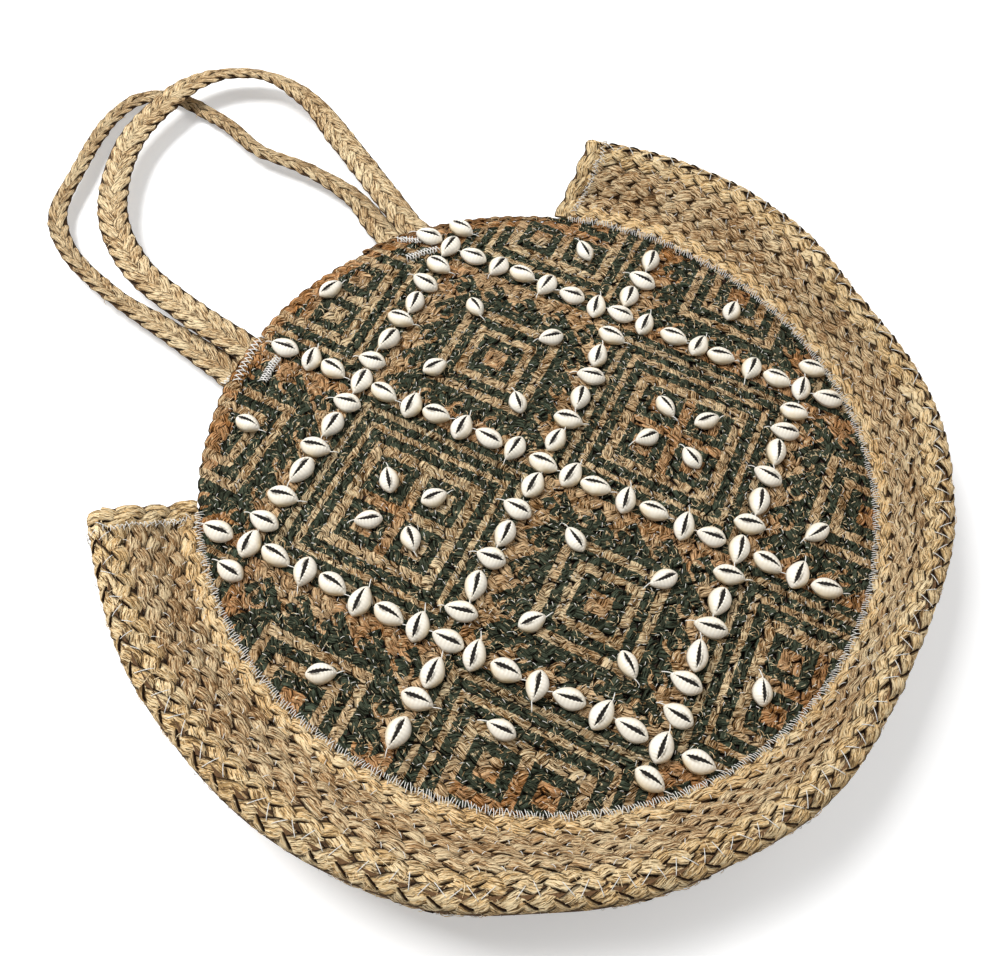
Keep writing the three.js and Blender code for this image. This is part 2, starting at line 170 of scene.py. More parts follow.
# How each kind of braid differs from the braid tree's usual values
BRAID_LOOKS = {
    "row": {"Swing": 0.56, "Rise": 0.0010, "Strand width": 0.68, "Flatness": 0.29, "Lean": 0.015,
            "Plumpness": 0.19, "Sides": 10, "Looseness": 0.0010},
    "coil": {"Swing": 0.57, "Rise": 0.0009, "Strand width": 0.63, "Flatness": 0.32, "Lean": 0.02,
             "Plumpness": 0.18, "Looseness": 0.0011},
    "handle": {"Swing": 0.60, "Rise": 0.0010, "Strand width": 0.37, "Flatness": 0.34, "Lean": 0.0,
               "Plumpness": 0.12, "Looseness": 0.0009},
    "hem": {"Swing": 0.55, "Rise": 0.0014, "Strand width": 0.66, "Flatness": 0.50, "Lean": 0.03,
            "Plumpness": 0.14, "Looseness": 0.0012},
}
ROW_PHASE = 2.4

# Loose fibres on each kind of braid: number per square metre and length
HAIRS = {"coil": (36000, 0.0032), "row": (12000, 0.0062), "crest": (24000, 0.0062), "handle": (9000, 0.0065)}
HAIR_THICKNESS = 0.00028

# Stitches of each seam: lift over the middle line, shortest, longest, share of the thread's diameter
SEAMS = {
    "rim": (0.0026, 0.0034, 0.0068, 0.75),
    "fold": (0.0028, 0.0065, 0.0095, 0.7),
    "row": (0.0028, 0.0028, 0.0045, 0.6),
    "coil": (0.0030, 0.0012, 0.0030, 0.55),
    "hem": (0.0034, 0.0020, 0.0055, 0.7),
}
COIL_STITCH_STEP = 0.0032
HEM_STITCH_STEP = 0.0013
HANDLE_STITCHES = 22
HANDLE_STITCH_LENGTH = (0.005, 0.0065)
HANDLE_STITCH_SLANT = 0.45


def length(name, description, default):
    return FloatProperty(name=name, description=description, default=default, unit="LENGTH")


def colour(name, description, text):
    """Colour property whose default is a hexadecimal screen colour."""
    parts = [int(text[i:i + 2], 16) / 255 for i in (0, 2, 4)]
    linear = tuple(p / 12.92 if p <= 0.04045 else ((p + 0.055) / 1.055) ** 2.4 for p in parts)
    return FloatVectorProperty(
        name=name, description=description, default=linear, size=3, subtype="COLOR", min=0, max=1)


class BraidSizes(bpy.types.PropertyGroup):
    """Sizes of the braids"""
    coil_pitch: length("Coil width", "Width of the braid that a panel is coiled from", 0.012)
    coil_lobe: length("Coil lobe", "Length of one lobe on a panel's braid", 0.0098)
    row_lobe: length("Row lobe", "Length of one lobe on a gusset row", 0.0150)
    handle_width: length("Handle width", "Width of a handle's flat braid", 0.0225)
    handle_lobe: length("Handle lobe", "Length of one lobe at a handle's edge", 0.0122)
    handle_strands: IntProperty(
        name="Handle strands", description="Number of strands in a handle", default=5, min=3)


class StitchSizes(bpy.types.PropertyGroup):
    """Sizes of the sewing"""
    thread: length("Thread", "Diameter of the sewing thread", 0.0006)
    rim_pitch: length("Rim pitch", "Distance between two stitches of the rim seam", 0.0015)
    fold_pitch: length("Fold pitch", "Distance between two stitches of the fold seam", 0.0075)
    seed: IntProperty(name="Seed", description="Start value of the irregular places", default=7)


class ShellSizes(bpy.types.PropertyGroup):
    """Sizes of the cowrie shells"""
    length: length("Length", "Length of a shell", 0.0196)
    width: length("Width", "Width of a shell", 0.0134)
    height: length("Height", "Height of a shell", 0.0062)


class Colours(bpy.types.PropertyGroup):
    """Colours of the straw, print, thread and shells"""
    jute_light: colour("Light jute", "Brightest fibres of the jute", "ffeabf")
    plain_jute: colour("Plain jute", "Usual colour of the jute", "c59c68")
    # Lit and shaded copies of one jute, as painted light and shade: lighter for the first row, the crest rows
    # and the hems, darker for the inner wall
    golden_jute: colour("Golden jute", "First gusset row", "ecc083")
    grey_jute: colour("Grey jute", "Rows of the inner wall", "bd9364")
    pale_jute: colour("Pale jute", "Rows at the crest and hems", "dfb77d")
    strap_jute: colour("Strap jute", "Handles", "c8a374")
    printed_jute: colour("Printed jute", "Bare jute between the dye", "9c784d")
    jute_dark: colour("Dark jute", "Darkest fibres of the jute", "3d2009")
    crease: colour("Crease", "Shaded jute between two strands", "1f1005")
    dye: colour("Green dye", "Dark green of the printed panel", "1f2820")
    brown_dye: colour("Orange-brown dye", "Orange-brown patches of the print", "70441c")
    thread: colour("Thread", "Sewing thread", "f1efe9")
    shell: colour("Shell", "Upper half of a cowrie", "f2ecdf")
    shell_warm: colour("Warm shell", "Yellowish tint of a cowrie's lower half", "d9c69f")
    # Painted shade: near-black for the shaded inside of a cowrie's opening
    slit: colour("Slit", "Opening of a cowrie", "17120e")


def step_of(operation, swapped=False):
    """Method that adds a node for one step of a formula."""
    def method(self, *others):
        return self.wiring.math(operation, *reversed((self, *others)) if swapped else (self, *others))
    return method


class Value:
    """Output of a node that can stand in a formula."""
    __add__, __radd__ = step_of("ADD"), step_of("ADD", swapped=True)
    __sub__, __rsub__ = step_of("SUBTRACT"), step_of("SUBTRACT", swapped=True)
    __mul__, __truediv__, __pow__ = step_of("MULTIPLY"), step_of("DIVIDE"), step_of("POWER")
    __gt__, __lt__, __abs__ = step_of("GREATER_THAN"), step_of("LESS_THAN"), step_of("ABSOLUTE")

    def __init__(self, wiring, socket):
        self.wiring, self.socket = wiring, socket
        self.is_vector = socket.type in ("VECTOR", "RGBA")


class Wiring:
    """Adds nodes to a tree and links them."""

    def __init__(self, tree):
        self.tree = tree

    def feed(self, node, key, value):
        """Links a value to one of the node's inputs, or sets that input."""
        if isinstance(value, Value):
            self.tree.links.new(value.socket, node.inputs[key])
        else:
            node.inputs[key].default_value = value

    def outs(self, names, kind, inputs=None, **settings):
        """The named outputs of a new node, or all that are in use."""
        node = self.tree.nodes.new(kind)
        for name, setting in settings.items():
            setattr(node, name, setting)
        for key, value in (inputs or {}).items():
            self.feed(node, key, value)
        names = names or [socket.name for socket in node.outputs if socket.enabled]
        return [Value(self, node.outputs[name]) for name in names]

    def out(self, kind, inputs=None, **settings):
        """The first output in use of a new node."""
        return self.outs((), kind, inputs, **settings)[0]

    def math(self, operation, *values, clamp=False):
        """Math node, or a Vector Math node where a value is a vector."""
        if not any(isinstance(value, Value) and value.is_vector for value in values):
            return self.out("ShaderNodeMath", dict(enumerate(values)), operation=operation, use_clamp=clamp)
        if operation == "MULTIPLY":
            return self.out("ShaderNodeVectorMath", {0: values[0], "Scale": values[1]}, operation="SCALE")
        return self.out("ShaderNodeVectorMath", dict(enumerate(values)), operation=operation)

    def blended(self, factor, first, second, how="MIX"):
        inputs = {"Factor": factor, "A": first, "B": second}
        return self.out("ShaderNodeMix", inputs, data_type="RGBA", blend_type=how)

    def range(self, value, low, high, to_low=0.0, to_high=1.0, smooth=False):
        return self.out(
            "ShaderNodeMapRange",
            {"Value": value, "From Min": low, "From Max": high, "To Min": to_low, "To Max": to_high},
            interpolation_type="SMOOTHSTEP" if smooth else "LINEAR")

    def noise(self, vector, scale, detail=2.0, roughness=0.5, output="Fac"):
        return self.outs([output], "ShaderNodeTexNoise", {
            "Vector": vector, "Scale": scale, "Detail": detail, "Roughness": roughness})[0]

    def place(self):
        """Place on the object."""
        return self.outs(["Object"], "ShaderNodeTexCoord")[0]

    def masks(self, *names):
        """Numbers that the mesh carries, for a material."""
        return [self.outs(["Fac"], "ShaderNodeAttribute", attribute_name=name)[0] for name in names]

    def stored(self, name, kind="FLOAT"):
        """Number or vector that the mesh carries, for a geometry tree."""
        return self.out("GeometryNodeInputNamedAttribute", {"Name": name}, data_type=kind)

    def marked(self, geometry, name, value):
        """Geometry with a number stored at its points."""
        inputs = {"Geometry": geometry, "Name": name, "Value": value}
        return self.out("GeometryNodeStoreNamedAttribute", inputs, data_type="FLOAT", domain="POINT")

    def combined(self, **parts):
        return self.out("ShaderNodeCombineXYZ", parts)

    def chance(self, low, high, seed):
        return self.out("FunctionNodeRandomValue", {"Min": low, "Max": high, "Seed": seed}, data_type="FLOAT")

    def ring(self, sides, radius=1.0):
        return self.out("GeometryNodeCurvePrimitiveCircle", {"Resolution": sides, "Radius": radius})

    def tube(self, line, profile, scale=1.0):
        inputs = {"Curve": line, "Profile Curve": profile, "Scale": scale, "Fill Caps": True}
        return self.out("GeometryNodeCurveToMesh", inputs)

    def faced(self, line, normal):
        return self.out("GeometryNodeSetCurveNormal", {"Curve": line, "Normal": normal}, mode="FREE")

    def moved(self, geometry, offset):
        return self.out("GeometryNodeSetPosition", {"Geometry": geometry, "Offset": offset})

    def finished(self, geometry, finish):
        return self.out("GeometryNodeSetMaterial", {"Geometry": geometry, "Material": finish})

    def copied(self, points, shape, facing, size, finish):
        """Real copies of a shape at the points, with their material."""
        inputs = {"Points": points, "Instance": shape, "Rotation": facing, "Scale": size}
        copies = self.out("GeometryNodeInstanceOnPoints", inputs)
        return self.finished(self.out("GeometryNodeRealizeInstances", {"Geometry": copies}), finish)

    def give(self, results):
        """Links the group's outputs and returns its tree."""
        end = self.tree.nodes.new("NodeGroupOutput")
        for name, value in results.items():
            self.feed(end, name, value)
        return self.tree


def opaque(rgb):
    return (*rgb, 1.0)


def new_group(name, kind, inputs, outputs):
    """Wiring and inputs of a new node group; an input is given by its kind of socket, or by a number."""
    tree = bpy.data.node_groups.new(name, kind)
    for label, entry in inputs.items():
        socket_kind = entry if isinstance(entry, str) else type(entry).__name__.capitalize()
        socket = tree.interface.new_socket(label, in_out="INPUT", socket_type=f"NodeSocket{socket_kind}")
        if socket_kind != entry:
            socket.default_value = entry
    for label, socket_kind in outputs.items():
        tree.interface.new_socket(label, in_out="OUTPUT", socket_type=f"NodeSocket{socket_kind}")
    wiring = Wiring(tree)
    return wiring, dict(zip(inputs, wiring.outs(list(inputs), "NodeGroupInput")))


# Shader groups

@cache
def fibre_group():
    """Fibres that run along a strand: colour, share of the strand that is free of the painted shade at its
    flanks, roughness and height.
    """
    w, given = new_group(
        "Jute fibres", "ShaderNodeTree", {"Light": "Color", "Mid": "Color", "Dark": "Color"},
        {"Color": "Color", "Unshaded side": "Float", "Roughness": "Float", "Height": "Float"})
    along, around, strand, sway = w.masks("along", "around", "strand", "sway")
    place = w.place()
    flank = w.math("PINGPONG", around, 0.25)
    bent = around + (w.noise(place, 420.0, 2.0) - 0.5) * 0.055

    def stretched(along_scale, around_scale, strand_scale, detail):
        """Noise in long thin marks that lie along the strand."""
        spot = w.combined(X=along * along_scale, Y=bent * around_scale, Z=strand * strand_scale)
        return w.noise(spot, 1.0, detail, 0.6)

    bunches = stretched(90, 14, 9.7, 2.0)
    strips = stretched(190, 34, 5.3, 2.0)
    hairs = stretched(330, 80, 7.7, 2.0)
    lengths = stretched(26, 0, 6.1, 1.0)
    patches = w.noise(place, 26.0, 2.0)
    # Dark lines are darker fibres together with painted shade in the gaps between fibres; pale lines are
    # paler fibres together with painted highlights on them
    dark_fibres_and_gap_shade = w.range(strips, 0.37, 0.46)
    pale_fibres_and_highlights = w.range(strips * 0.5 + hairs * 0.5, 0.53, 0.61)
    shade = 0.02 + bunches * 1.15 + (lengths - 0.5) * 0.75 + (patches - 0.5) * 0.50
    shade = shade + pale_fibres_and_highlights * 0.50 - (1.0 - dark_fibres_and_gap_shade) * 0.80
    low = w.blended(w.range(shade, 0.16, 0.49), given["Dark"], given["Mid"])
    # Painted shade: towards the strand's flanks, where shade falls between strands, the colour turns to the
    # shaded crease colour; a strap's outer edges are spared
    edge = flank + (strips - 0.5) * 0.16 - w.range(abs(sway), 0.86, 0.99, 0.0, 0.05)
    return w.give({
        "Color": w.blended(w.range(shade, 0.49, 0.86), low, given["Light"]),
        "Unshaded side": w.range(edge, 0.160, 0.232, 1.0, 0.0, smooth=True),
        "Roughness": w.range(hairs, 0.3, 0.7, 0.95, 0.70),
        "Height": bunches + dark_fibres_and_gap_shade * 0.45 + hairs * 0.35})


@cache
def print_group():
    """Dark print on the front panel: shares of green and of orange-brown dye."""
    w, given = new_group(
        "Checked print", "ShaderNodeTree", {"Raggedness": 2.2 * MM}, {"Green": "Float", "Brown": "Float"})
    place = w.place()
    pushed = place + (w.noise(place, 420.0, 2.0, output="Color") - (0.5, 0.5, 0.5)) * given["Raggedness"]
    turned = w.out("ShaderNodeMapping", {
        "Vector": pushed, "Rotation": (0, 0, -GRID_TURN), "Scale": (1000 / PRINT_CELL,) * 3,
        "Location": (-PRINT_SHIFT[0] / PRINT_CELL, -PRINT_SHIFT[1] / PRINT_CELL, 0)})
    spots = w.outs("XY", "ShaderNodeSeparateXYZ", {"Vector": turned})
    floors = [w.math("FLOOR", spot) for spot in spots]
    local = [(spot - floor - 0.5) * PRINT_CELL for spot, floor in zip(spots, floors)]
    second = abs(w.math("MODULO", floors[0] + floors[1], 2.0))
    a, b = (abs(value) for value in local)
    outward, inward = w.math("MAXIMUM", a, b), w.math("MINIMUM", a, b)

    def steps(value, bands):
        """The band's share inside each band, 0 elsewhere."""
        total = 0.0
        for low, high, share in bands:
            total = total + (value > low) * (value < high) * share
        return total

    def by_cell(in_second, in_first):
        """Value of the second kind of cell there, of the first kind elsewhere."""
        return w.math("ADD", second * in_second, (1.0 - second) * in_first, clamp=True)

    # Cells of the first kind: lines round four spots and a cross
    cross = (outward < 31.0) * (inward < 3.5)
    windows = w.math("MAXIMUM", cross, w.math("MAXIMUM", abs(a - 17.0), abs(b - 17.0)) < 6.5)
    lines_first = steps(outward, FIRST_LINES)
    bare_first = w.math("ADD", windows, lines_first, clamp=True)

    # Cells of the second kind: lines inside a border of curling peaks
    side = a > b
    run = side * local[1] + (1.0 - side) * local[0]
    wave = (w.math("FRACT", run / PEAK_LENGTH + 0.5) - 0.5) * PEAK_LENGTH
    above = outward > w.math("MAXIMUM", 58.5 - abs(wave), FIELD_START)
    to_curl = wave + 4.0
    reach = (to_curl ** 2.0 + (outward - 47.0) ** 2.0) ** 0.5
    curl = (reach > 3.4) * (reach < 5.8) * w.math("MAXIMUM", to_curl < 1.5, outward > 49.0)
    field = w.math("MAXIMUM", above, curl) * (outward > FIELD_START)
    lines_second = steps(outward, SECOND_LINES)
    bare_second = w.math("MAXIMUM", w.math("MAXIMUM", field, lines_second), steps(outward, [(-1.0, 7.0, 1)]))

    # The last coil turn is bare at the mouth
    x, y = w.outs("XY", "ShaderNodeSeparateXYZ", {"Vector": pushed})
    radius = (x ** 2.0 + y ** 2.0) ** 0.5
    bare_turn = (radius > PANEL_RADIUS - 0.011) * (y > 0.142)
    bare = w.math("MAXIMUM", by_cell(bare_second, bare_first), bare_turn)

    # The dye misses specks, and the bare jute is tinted brown in patches and near the rim
    specks = w.range(w.noise(place, 330.0, 2.0, 0.6), 0.30, 0.40)
    tinted = w.math("MAXIMUM", w.range(w.noise(place, 17.0, 2.0), 0.46, 0.60) * 0.75, (outward < 7.0) * 0.5)
    tinted = w.math("MAXIMUM", tinted, by_cell(field, 0.0) * 0.40)
    tinted = w.math("MAXIMUM", tinted, w.range(radius, PANEL_RADIUS - 0.030, PANEL_RADIUS - 0.014, 0.0, 0.85))
    brown = bare * tinted * w.range(by_cell(lines_second, lines_first), 0.0, 1.0, 1.0, 0.35)
    return w.give({"Green": (1.0 - bare) * specks, "Brown": brown * specks})


# Materials

def wired(owner, kind):
    """Wiring of a material or world, and its shader of that kind."""
    owner.use_nodes = True
    return Wiring(owner.node_tree), next(n for n in owner.node_tree.nodes if n.bl_idname == kind)


def new_material(name):
    made = bpy.data.materials.new(name)
    return made, *wired(made, "ShaderNodeBsdfPrincipled")


def bumped(w, shader, height, distance, strength=1.0):
    inputs = {"Height": height, "Distance": distance, "Strength": strength}
    w.feed(shader, "Normal", w.out("ShaderNodeBump", inputs))


def jute_material(name, printed=False):
    """Jute of the named colour, with its lighter and darker fibres; printed or plain."""
    colours = bpy.context.scene.bag_colours
    made, w, shader = new_material(name)
    tone = getattr(colours, name)
    light = [t + (l - t) * 0.85 for t, l in zip(tone, colours.jute_light)]
    dark = [t * 0.22 + d * 0.78 for t, d in zip(tone, colours.jute_dark)]
    finish, unshaded_side, roughness, height = w.outs(
        ("Color", "Unshaded side", "Roughness", "Height"), "ShaderNodeGroup",
        {"Light": opaque(light), "Mid": opaque(tone), "Dark": opaque(dark)}, node_tree=fibre_group())
    crease = colours.crease
    if printed:
        green, brown = w.outs(("Green", "Brown"), "ShaderNodeGroup", node_tree=print_group())
        # Painted shade and highlights on the printed panel: low places of the fibre relief are darkened, and
        # the dye is darkened in low places and brightened on raised fibres
        grain = w.range(height, 0.74, 1.30, 0.0, 2.35) ** 1.7
        finish = w.blended(1.0, finish, w.range(height, 0.72, 1.05, 0.30, 1.0), "MULTIPLY")
        for share, dye in ((brown * 0.80, colours.brown_dye), (green * 0.96, colours.dye)):
            finish = w.blended(share, finish, w.blended(1.0, opaque(dye), grain, "MULTIPLY"))
        crease = [c * 0.18 for c in crease]
    # Painted shade on the strand flanks in the crease colour, far darker on the printed panel
    w.feed(shader, "Base Color", w.blended(unshaded_side, opaque(crease), finish))
    w.feed(shader, "Roughness", roughness)
    w.feed(shader, "Specular IOR Level", 0.03 if printed else 0.10)
    bumped(w, shader, height, 0.0026)
    return made


def core_material(name, depth):
    """Shaded fibres inside a braid: at depth 0 as light as dark jute, at 1 far darker."""
    colours = bpy.context.scene.bag_colours
    made, w, shader = new_material(name)
    grain = w.noise(w.place(), 700.0)
    low = [c * (1 - 0.65 * depth) for c in colours.jute_dark]
    high = [d + (j - d) * 0.30 * (1 - depth) for d, j in zip(colours.jute_dark, colours.plain_jute)]
    w.feed(shader, "Base Color", w.blended(grain, opaque(low), opaque(high)))
    w.feed(shader, "Roughness", 0.95)
    bumped(w, shader, grain, 0.0004)
    return made


def loose_fibre_material(name):
    """Fine hairs of jute, tan to cream."""
    colours = bpy.context.scene.bag_colours
    made, w, shader = new_material(name)
    tone = w.range(w.noise(w.place(), 260.0, 1.0), 0.36, 0.62)
    w.feed(shader, "Base Color", w.blended(tone, opaque(colours.plain_jute), opaque(colours.jute_light)))
    w.feed(shader, "Roughness", 0.85)
    return made


def thread_material(name):
    made, w, shader = new_material(name)
    grain = w.noise(w.place(), 1500.0)
    thread = bpy.context.scene.bag_colours.thread
    w.feed(shader, "Base Color", w.blended(grain, opaque([c * 0.72 for c in thread]), opaque(thread)))
    w.feed(shader, "Roughness", 0.8)
    bumped(w, shader, grain, 0.0002)
    return made


def shell_material(name):
    """Glossy cream shell, warmer at its flank, with painted shade: near-black inside its opening and dark
    lines in its tooth grooves.
    """
    colours = bpy.context.scene.bag_colours
    made, w, shader = new_material(name)
    flank, slit, teeth = w.masks("flank", "slit", "teeth")
    cloud = w.noise(w.place(), 160.0)
    warm = w.range(flank, 0.25, 1.0) * w.range(cloud, 0.35, 0.65, 0.35, 1.0)
    skin = w.blended(warm, opaque(colours.shell), opaque(colours.shell_warm))
    # Painted shade: dark lines across the tooth grooves beside the opening
    skin = w.blended(teeth * 0.42, skin, opaque([c * 0.55 for c in colours.shell_warm]))
    # Painted shade: the opening's inside is near-black and rough
    w.feed(shader, "Base Color", w.blended(w.range(slit, 0.35, 0.65), skin, opaque(colours.slit)))
    w.feed(shader, "Roughness", w.math("MAXIMUM", w.range(cloud, 0.3, 0.7, 0.28, 0.42), slit))
    bumped(w, shader, cloud - teeth * 1.5, 0.0003, 0.5)
    return made


MAKERS = {
    "printed_jute": (jute_material, True),
    # Painted shade for the braids' cores: shaded jute, far darker under the printed panel
    "shaded_inner_jute": (core_material, 0.0),
    "shaded_inner_dyed_jute": (core_material, 1.0),
    "white_thread": (thread_material,),
    "cowrie_gloss": (shell_material,),
    "loose_fibre": (loose_fibre_material,),
}


@cache
def material(name):
    maker, *details = MAKERS.get(name, (jute_material,))
    return maker(name, *details)


# Geometry trees

BRAID_SHARPNESS = 0.93


@cache
def braid_tree():
    """A flat braid along a path: each strand weaves from edge to edge, over and under the others."""
    w, given = new_group("Flat braid", "GeometryNodeTree", {
        "Path": "Geometry", "Strands": 3, "Dives": 2, "Lobe": 0.012, "Swing": 0.5, "Rise": 0.0012,
        "Strand width": 0.5, "Flatness": 0.7, "Lean": 0.15, "Roll": 0.1, "Start": 0.0, "Plumpness": 0.15,
        "Sides": 8, "Looseness": 0.0006, "Straw": "Material", "Core": "Material"}, {"Braid": "Geometry"})
    run, side, up = (w.stored(name, "FLOAT_VECTOR") for name in ("run", "side", "up"))
    along, half, bend = (w.stored(name) for name in ("along", "half", "bend"))
    lines = w.out("GeometryNodeMeshToCurve", {"Mesh": given["Path"]})
    copies, index = w.outs(("Geometry", "Duplicate Index"), "GeometryNodeDuplicateElements", {
        "Geometry": lines, "Amount": given["Strands"]}, domain="SPLINE")
    marked = w.marked(copies, "strand", index + given["Start"])

    # Each strand's way across the braid, over and under, with a little slack
    turn = along * (2 * math.pi) / (given["Lobe"] * given["Strands"])
    theta = turn + index * (2 * math.pi) / given["Strands"] + given["Start"]
    sway = w.math("ARCSINE", w.math("SINE", theta) * BRAID_SHARPNESS) / math.asin(BRAID_SHARPNESS)
    dives = theta * given["Dives"]
    weave = w.math("SINE", dives)
    slip = w.math("COSINE", dives) * (given["Lean"] * given["Lobe"])
    slack = w.noise(w.combined(X=along * 140.0, Y=w.stored("strand") * 13.7), 1.0, 1.0, output="Color")
    loose = (slack - (0.5, 0.5, 0.5)) * (given["Looseness"] * 2.0)

    # The braid bends across its width where the path says so
    across = sway * given["Swing"] * half
    turned = across * bend
    square = turned * turned
    outward = up * (1.0 - square / 2.0) + side * turned
    offset = side * (across * (1.0 - square / 6.0)) + up * (across * turned * (square / 24.0 - 0.5))
    offset = offset + outward * (weave * given["Rise"]) + run * slip
    marked = w.marked(marked, "sway", sway)
    placed = w.moved(marked, offset + loose)
    tilt = w.math("NORMALIZE", outward + side * (sway * given["Roll"]))

    # An oval follows each strand, and a flat core fills the middle in a painted shade colour, for the shade
    # in the gaps between strands
    oval = w.out("GeometryNodeTransform", {
        "Geometry": w.ring(given["Sides"]), "Rotation": (0, 0, math.pi),
        "Scale": w.combined(X=given["Flatness"], Y=1.0, Z=1.0)})
    oval = w.marked(oval, "around", w.out("GeometryNodeSplineParameter"))
    girth = half * given["Strand width"] * (1.0 + weave * given["Plumpness"])
    strands = w.tube(w.faced(placed, tilt), oval, girth)
    flat = w.out("GeometryNodeTransform", {"Geometry": w.ring(4), "Scale": (0.12, 1.0, 1.0)})
    core = w.tube(w.faced(lines, up), flat, half * 0.92)
    joined = w.tree.nodes.new("GeometryNodeJoinGeometry")
    for part, finish in ((core, "Core"), (strands, "Straw")):
        w.feed(joined, 0, w.finished(part, given[finish]))
    whole = Value(w, joined.outputs[0])
    smooth = w.out("GeometryNodeSetShadeSmooth", {"Geometry": whole, "Shade Smooth": True})
    return w.give({"Braid": w.out("GeometryNodeRealizeInstances", {"Geometry": smooth})})


@cache
def scatter_tree():
    """One small shape at each point, turned and sized by the point's attributes."""
    w, given = new_group("Placed copies", "GeometryNodeTree", {
        "Places": "Geometry", "Shape": "Object", "Size jitter": 0.08, "Seed": 1, "Finish": "Material"},
        {"Copies": "Geometry"})
    shape, = w.outs(
        ["Geometry"], "GeometryNodeObjectInfo", {"Object": given["Shape"]}, transform_space="ORIGINAL")
    points = w.out("GeometryNodeMeshToPoints", {"Mesh": given["Places"]})
    direction, up, size = (w.stored(name, "FLOAT_VECTOR") for name in ("direction", "up", "size"))
    facing = w.out("FunctionNodeAxesToRotation", {"Primary Axis": direction, "Secondary Axis": up},
                   primary_axis="X", secondary_axis="Z")
    jitter = given["Size jitter"]
    size = size * w.chance(1.0 - jitter, 1.0 + jitter, given["Seed"])
    return w.give({"Copies": w.copied(points, shape, facing, size, given["Finish"])})


@cache
def loose_tree():
    """Short bent hairs that lie on the upper side of a braid, in any direction."""
    w, given = new_group("Loose fibres", "GeometryNodeTree", {
        "Braid": "Geometry", "Density": 20000.0, "Length": 0.006, "Thickness": 0.0003, "Seed": 1,
        "Finish": "Material"}, {"Hairs": "Geometry"})
    on_top = w.out("FunctionNodeCompare", {0: abs(w.stored("around") - 0.5), 1: 0.2},
                   data_type="FLOAT", operation="LESS_THAN")
    points, normal = w.outs(("Points", "Normal"), "GeometryNodeDistributePointsOnFaces", {
        "Mesh": given["Braid"], "Selection": on_top, "Density": given["Density"], "Seed": given["Seed"]})
    line = w.out("GeometryNodeCurvePrimitiveLine", {"Start": (-0.5, 0, 0), "End": (0.5, 0, 0)})
    line = w.out("GeometryNodeResampleCurve", {"Curve": line, "Count": 4})
    share = w.out("GeometryNodeSplineParameter")
    bend = w.combined(Y=w.math("SINE", share * 4.4) * 0.06, Z=w.math("SINE", share * math.pi) * 0.15 - 0.03)
    hair = w.tube(w.moved(line, bend), w.ring(3, given["Thickness"] / (given["Length"] * 2.0)))
    turn = w.chance(0.0, 2 * math.pi, given["Seed"])
    facing = w.out("FunctionNodeAlignRotationToVector", {"Vector": normal}, axis="Z")
    spin = w.out("FunctionNodeEulerToRotation", {"Euler": w.combined(Z=turn)})
    facing = w.out(
        "FunctionNodeRotateRotation", {"Rotation": facing, "Rotate By": spin}, rotation_space="LOCAL")
    size = w.chance(0.5, 1.3, given["Seed"] + 7) * given["Length"]
    return w.give({"Hairs": w.copied(points, hair, facing, size, given["Finish"])})


# Meshes that the trees grow from

def new_object(name, mesh):
    piece = bpy.data.objects.new(name, mesh)
    bpy.context.scene.collection.objects.link(piece)
    return piece


def grown(name, mesh, tree, values):
    """Plain mesh object that the tree makes from the given mesh, with the tree's named inputs."""
    seed = new_object(f"{name}_path", mesh)
    modifier = seed.modifiers.new("grow", "NODES")
    modifier.node_group = tree
    for socket in tree.interface.items_tree:
        if socket.in_out == "INPUT" and socket.name in values:
            modifier[socket.identifier] = values[socket.name]
    result = bpy.data.meshes.new_from_object(seed.evaluated_get(bpy.context.evaluated_depsgraph_get()))
    seed.modifiers.remove(modifier)
    bpy.data.objects.remove(seed)
    result.name = name
    return new_object(name, result)


def unit(vectors):
    return vectors / np.linalg.norm(vectors, axis=-1, keepdims=True)


def distances(points):
    """Length of the line of points up to each of them."""
    return np.concatenate([[0], np.cumsum(np.linalg.norm(np.diff(points, axis=0), axis=1))])


def columns(found):
    """Arrays of the first, second and further entries of all rows."""
    return [np.array(column) for column in zip(*found)]


def sampled(values, at, known=None):
    """Rows of the values at fractional indices, or at places between the known ones."""
    known = np.arange(len(values)) if known is None else known
    return np.stack([np.interp(at, known, column) for column in values.T], 1)


def put_attributes(mesh, **values):
    """Stores a number or a vector per point under each name."""
    for name, column in values.items():
        column = np.ascontiguousarray(column, np.float32)
        kind, key = ("FLOAT_VECTOR", "vector") if column.ndim == 2 else ("FLOAT", "value")
        mesh.attributes.new(name, kind, "POINT").data.foreach_set(key, column.ravel())


def path_mesh(name, points, side, up, half, along=None, bend=0.0):
    """Edges along a path with the braid's directions and half width at each point, and its bend across."""
    mesh = bpy.data.meshes.new(name)
    count = len(points)
    mesh.from_pydata(points.tolist(), [(i, i + 1) for i in range(count - 1)], [])
    put_attributes(mesh, run=unit(np.gradient(points, axis=0)), side=side, up=up, half=half,
                   bend=np.full(count, bend), along=distances(points) if along is None else along)
    return mesh


def point_mesh(name, points, direction, up, size):
    """Points that each carry a direction, an upward direction and a size."""
    mesh = bpy.data.meshes.new(name)
    mesh.from_pydata(np.asarray(points, float).tolist(), [], [])
    put_attributes(mesh, direction=direction, up=up, size=size)
    return mesh


def braid(name, mesh, look, lobe, start, straw, **changes):
    # The core is painted shade, far darker under the printed panel
    core = "shaded_inner_dyed_jute" if straw == "printed_jute" else "shaded_inner_jute"
    changes.update({"Lobe": lobe, "Start": start, "Straw": material(straw), "Core": material(core)})
    return grown(name, mesh, braid_tree(), {**BRAID_LOOKS[look], **changes})


def loose_fibres(name, braided, look, seed):
    """Loose fibres over a finished braid."""
    density, reach = HAIRS[look]
    return grown(name, braided.data.copy(), loose_tree(), {
        "Density": density, "Length": reach, "Thickness": HAIR_THICKNESS, "Seed": seed,
        "Finish": material("loose_fibre")})


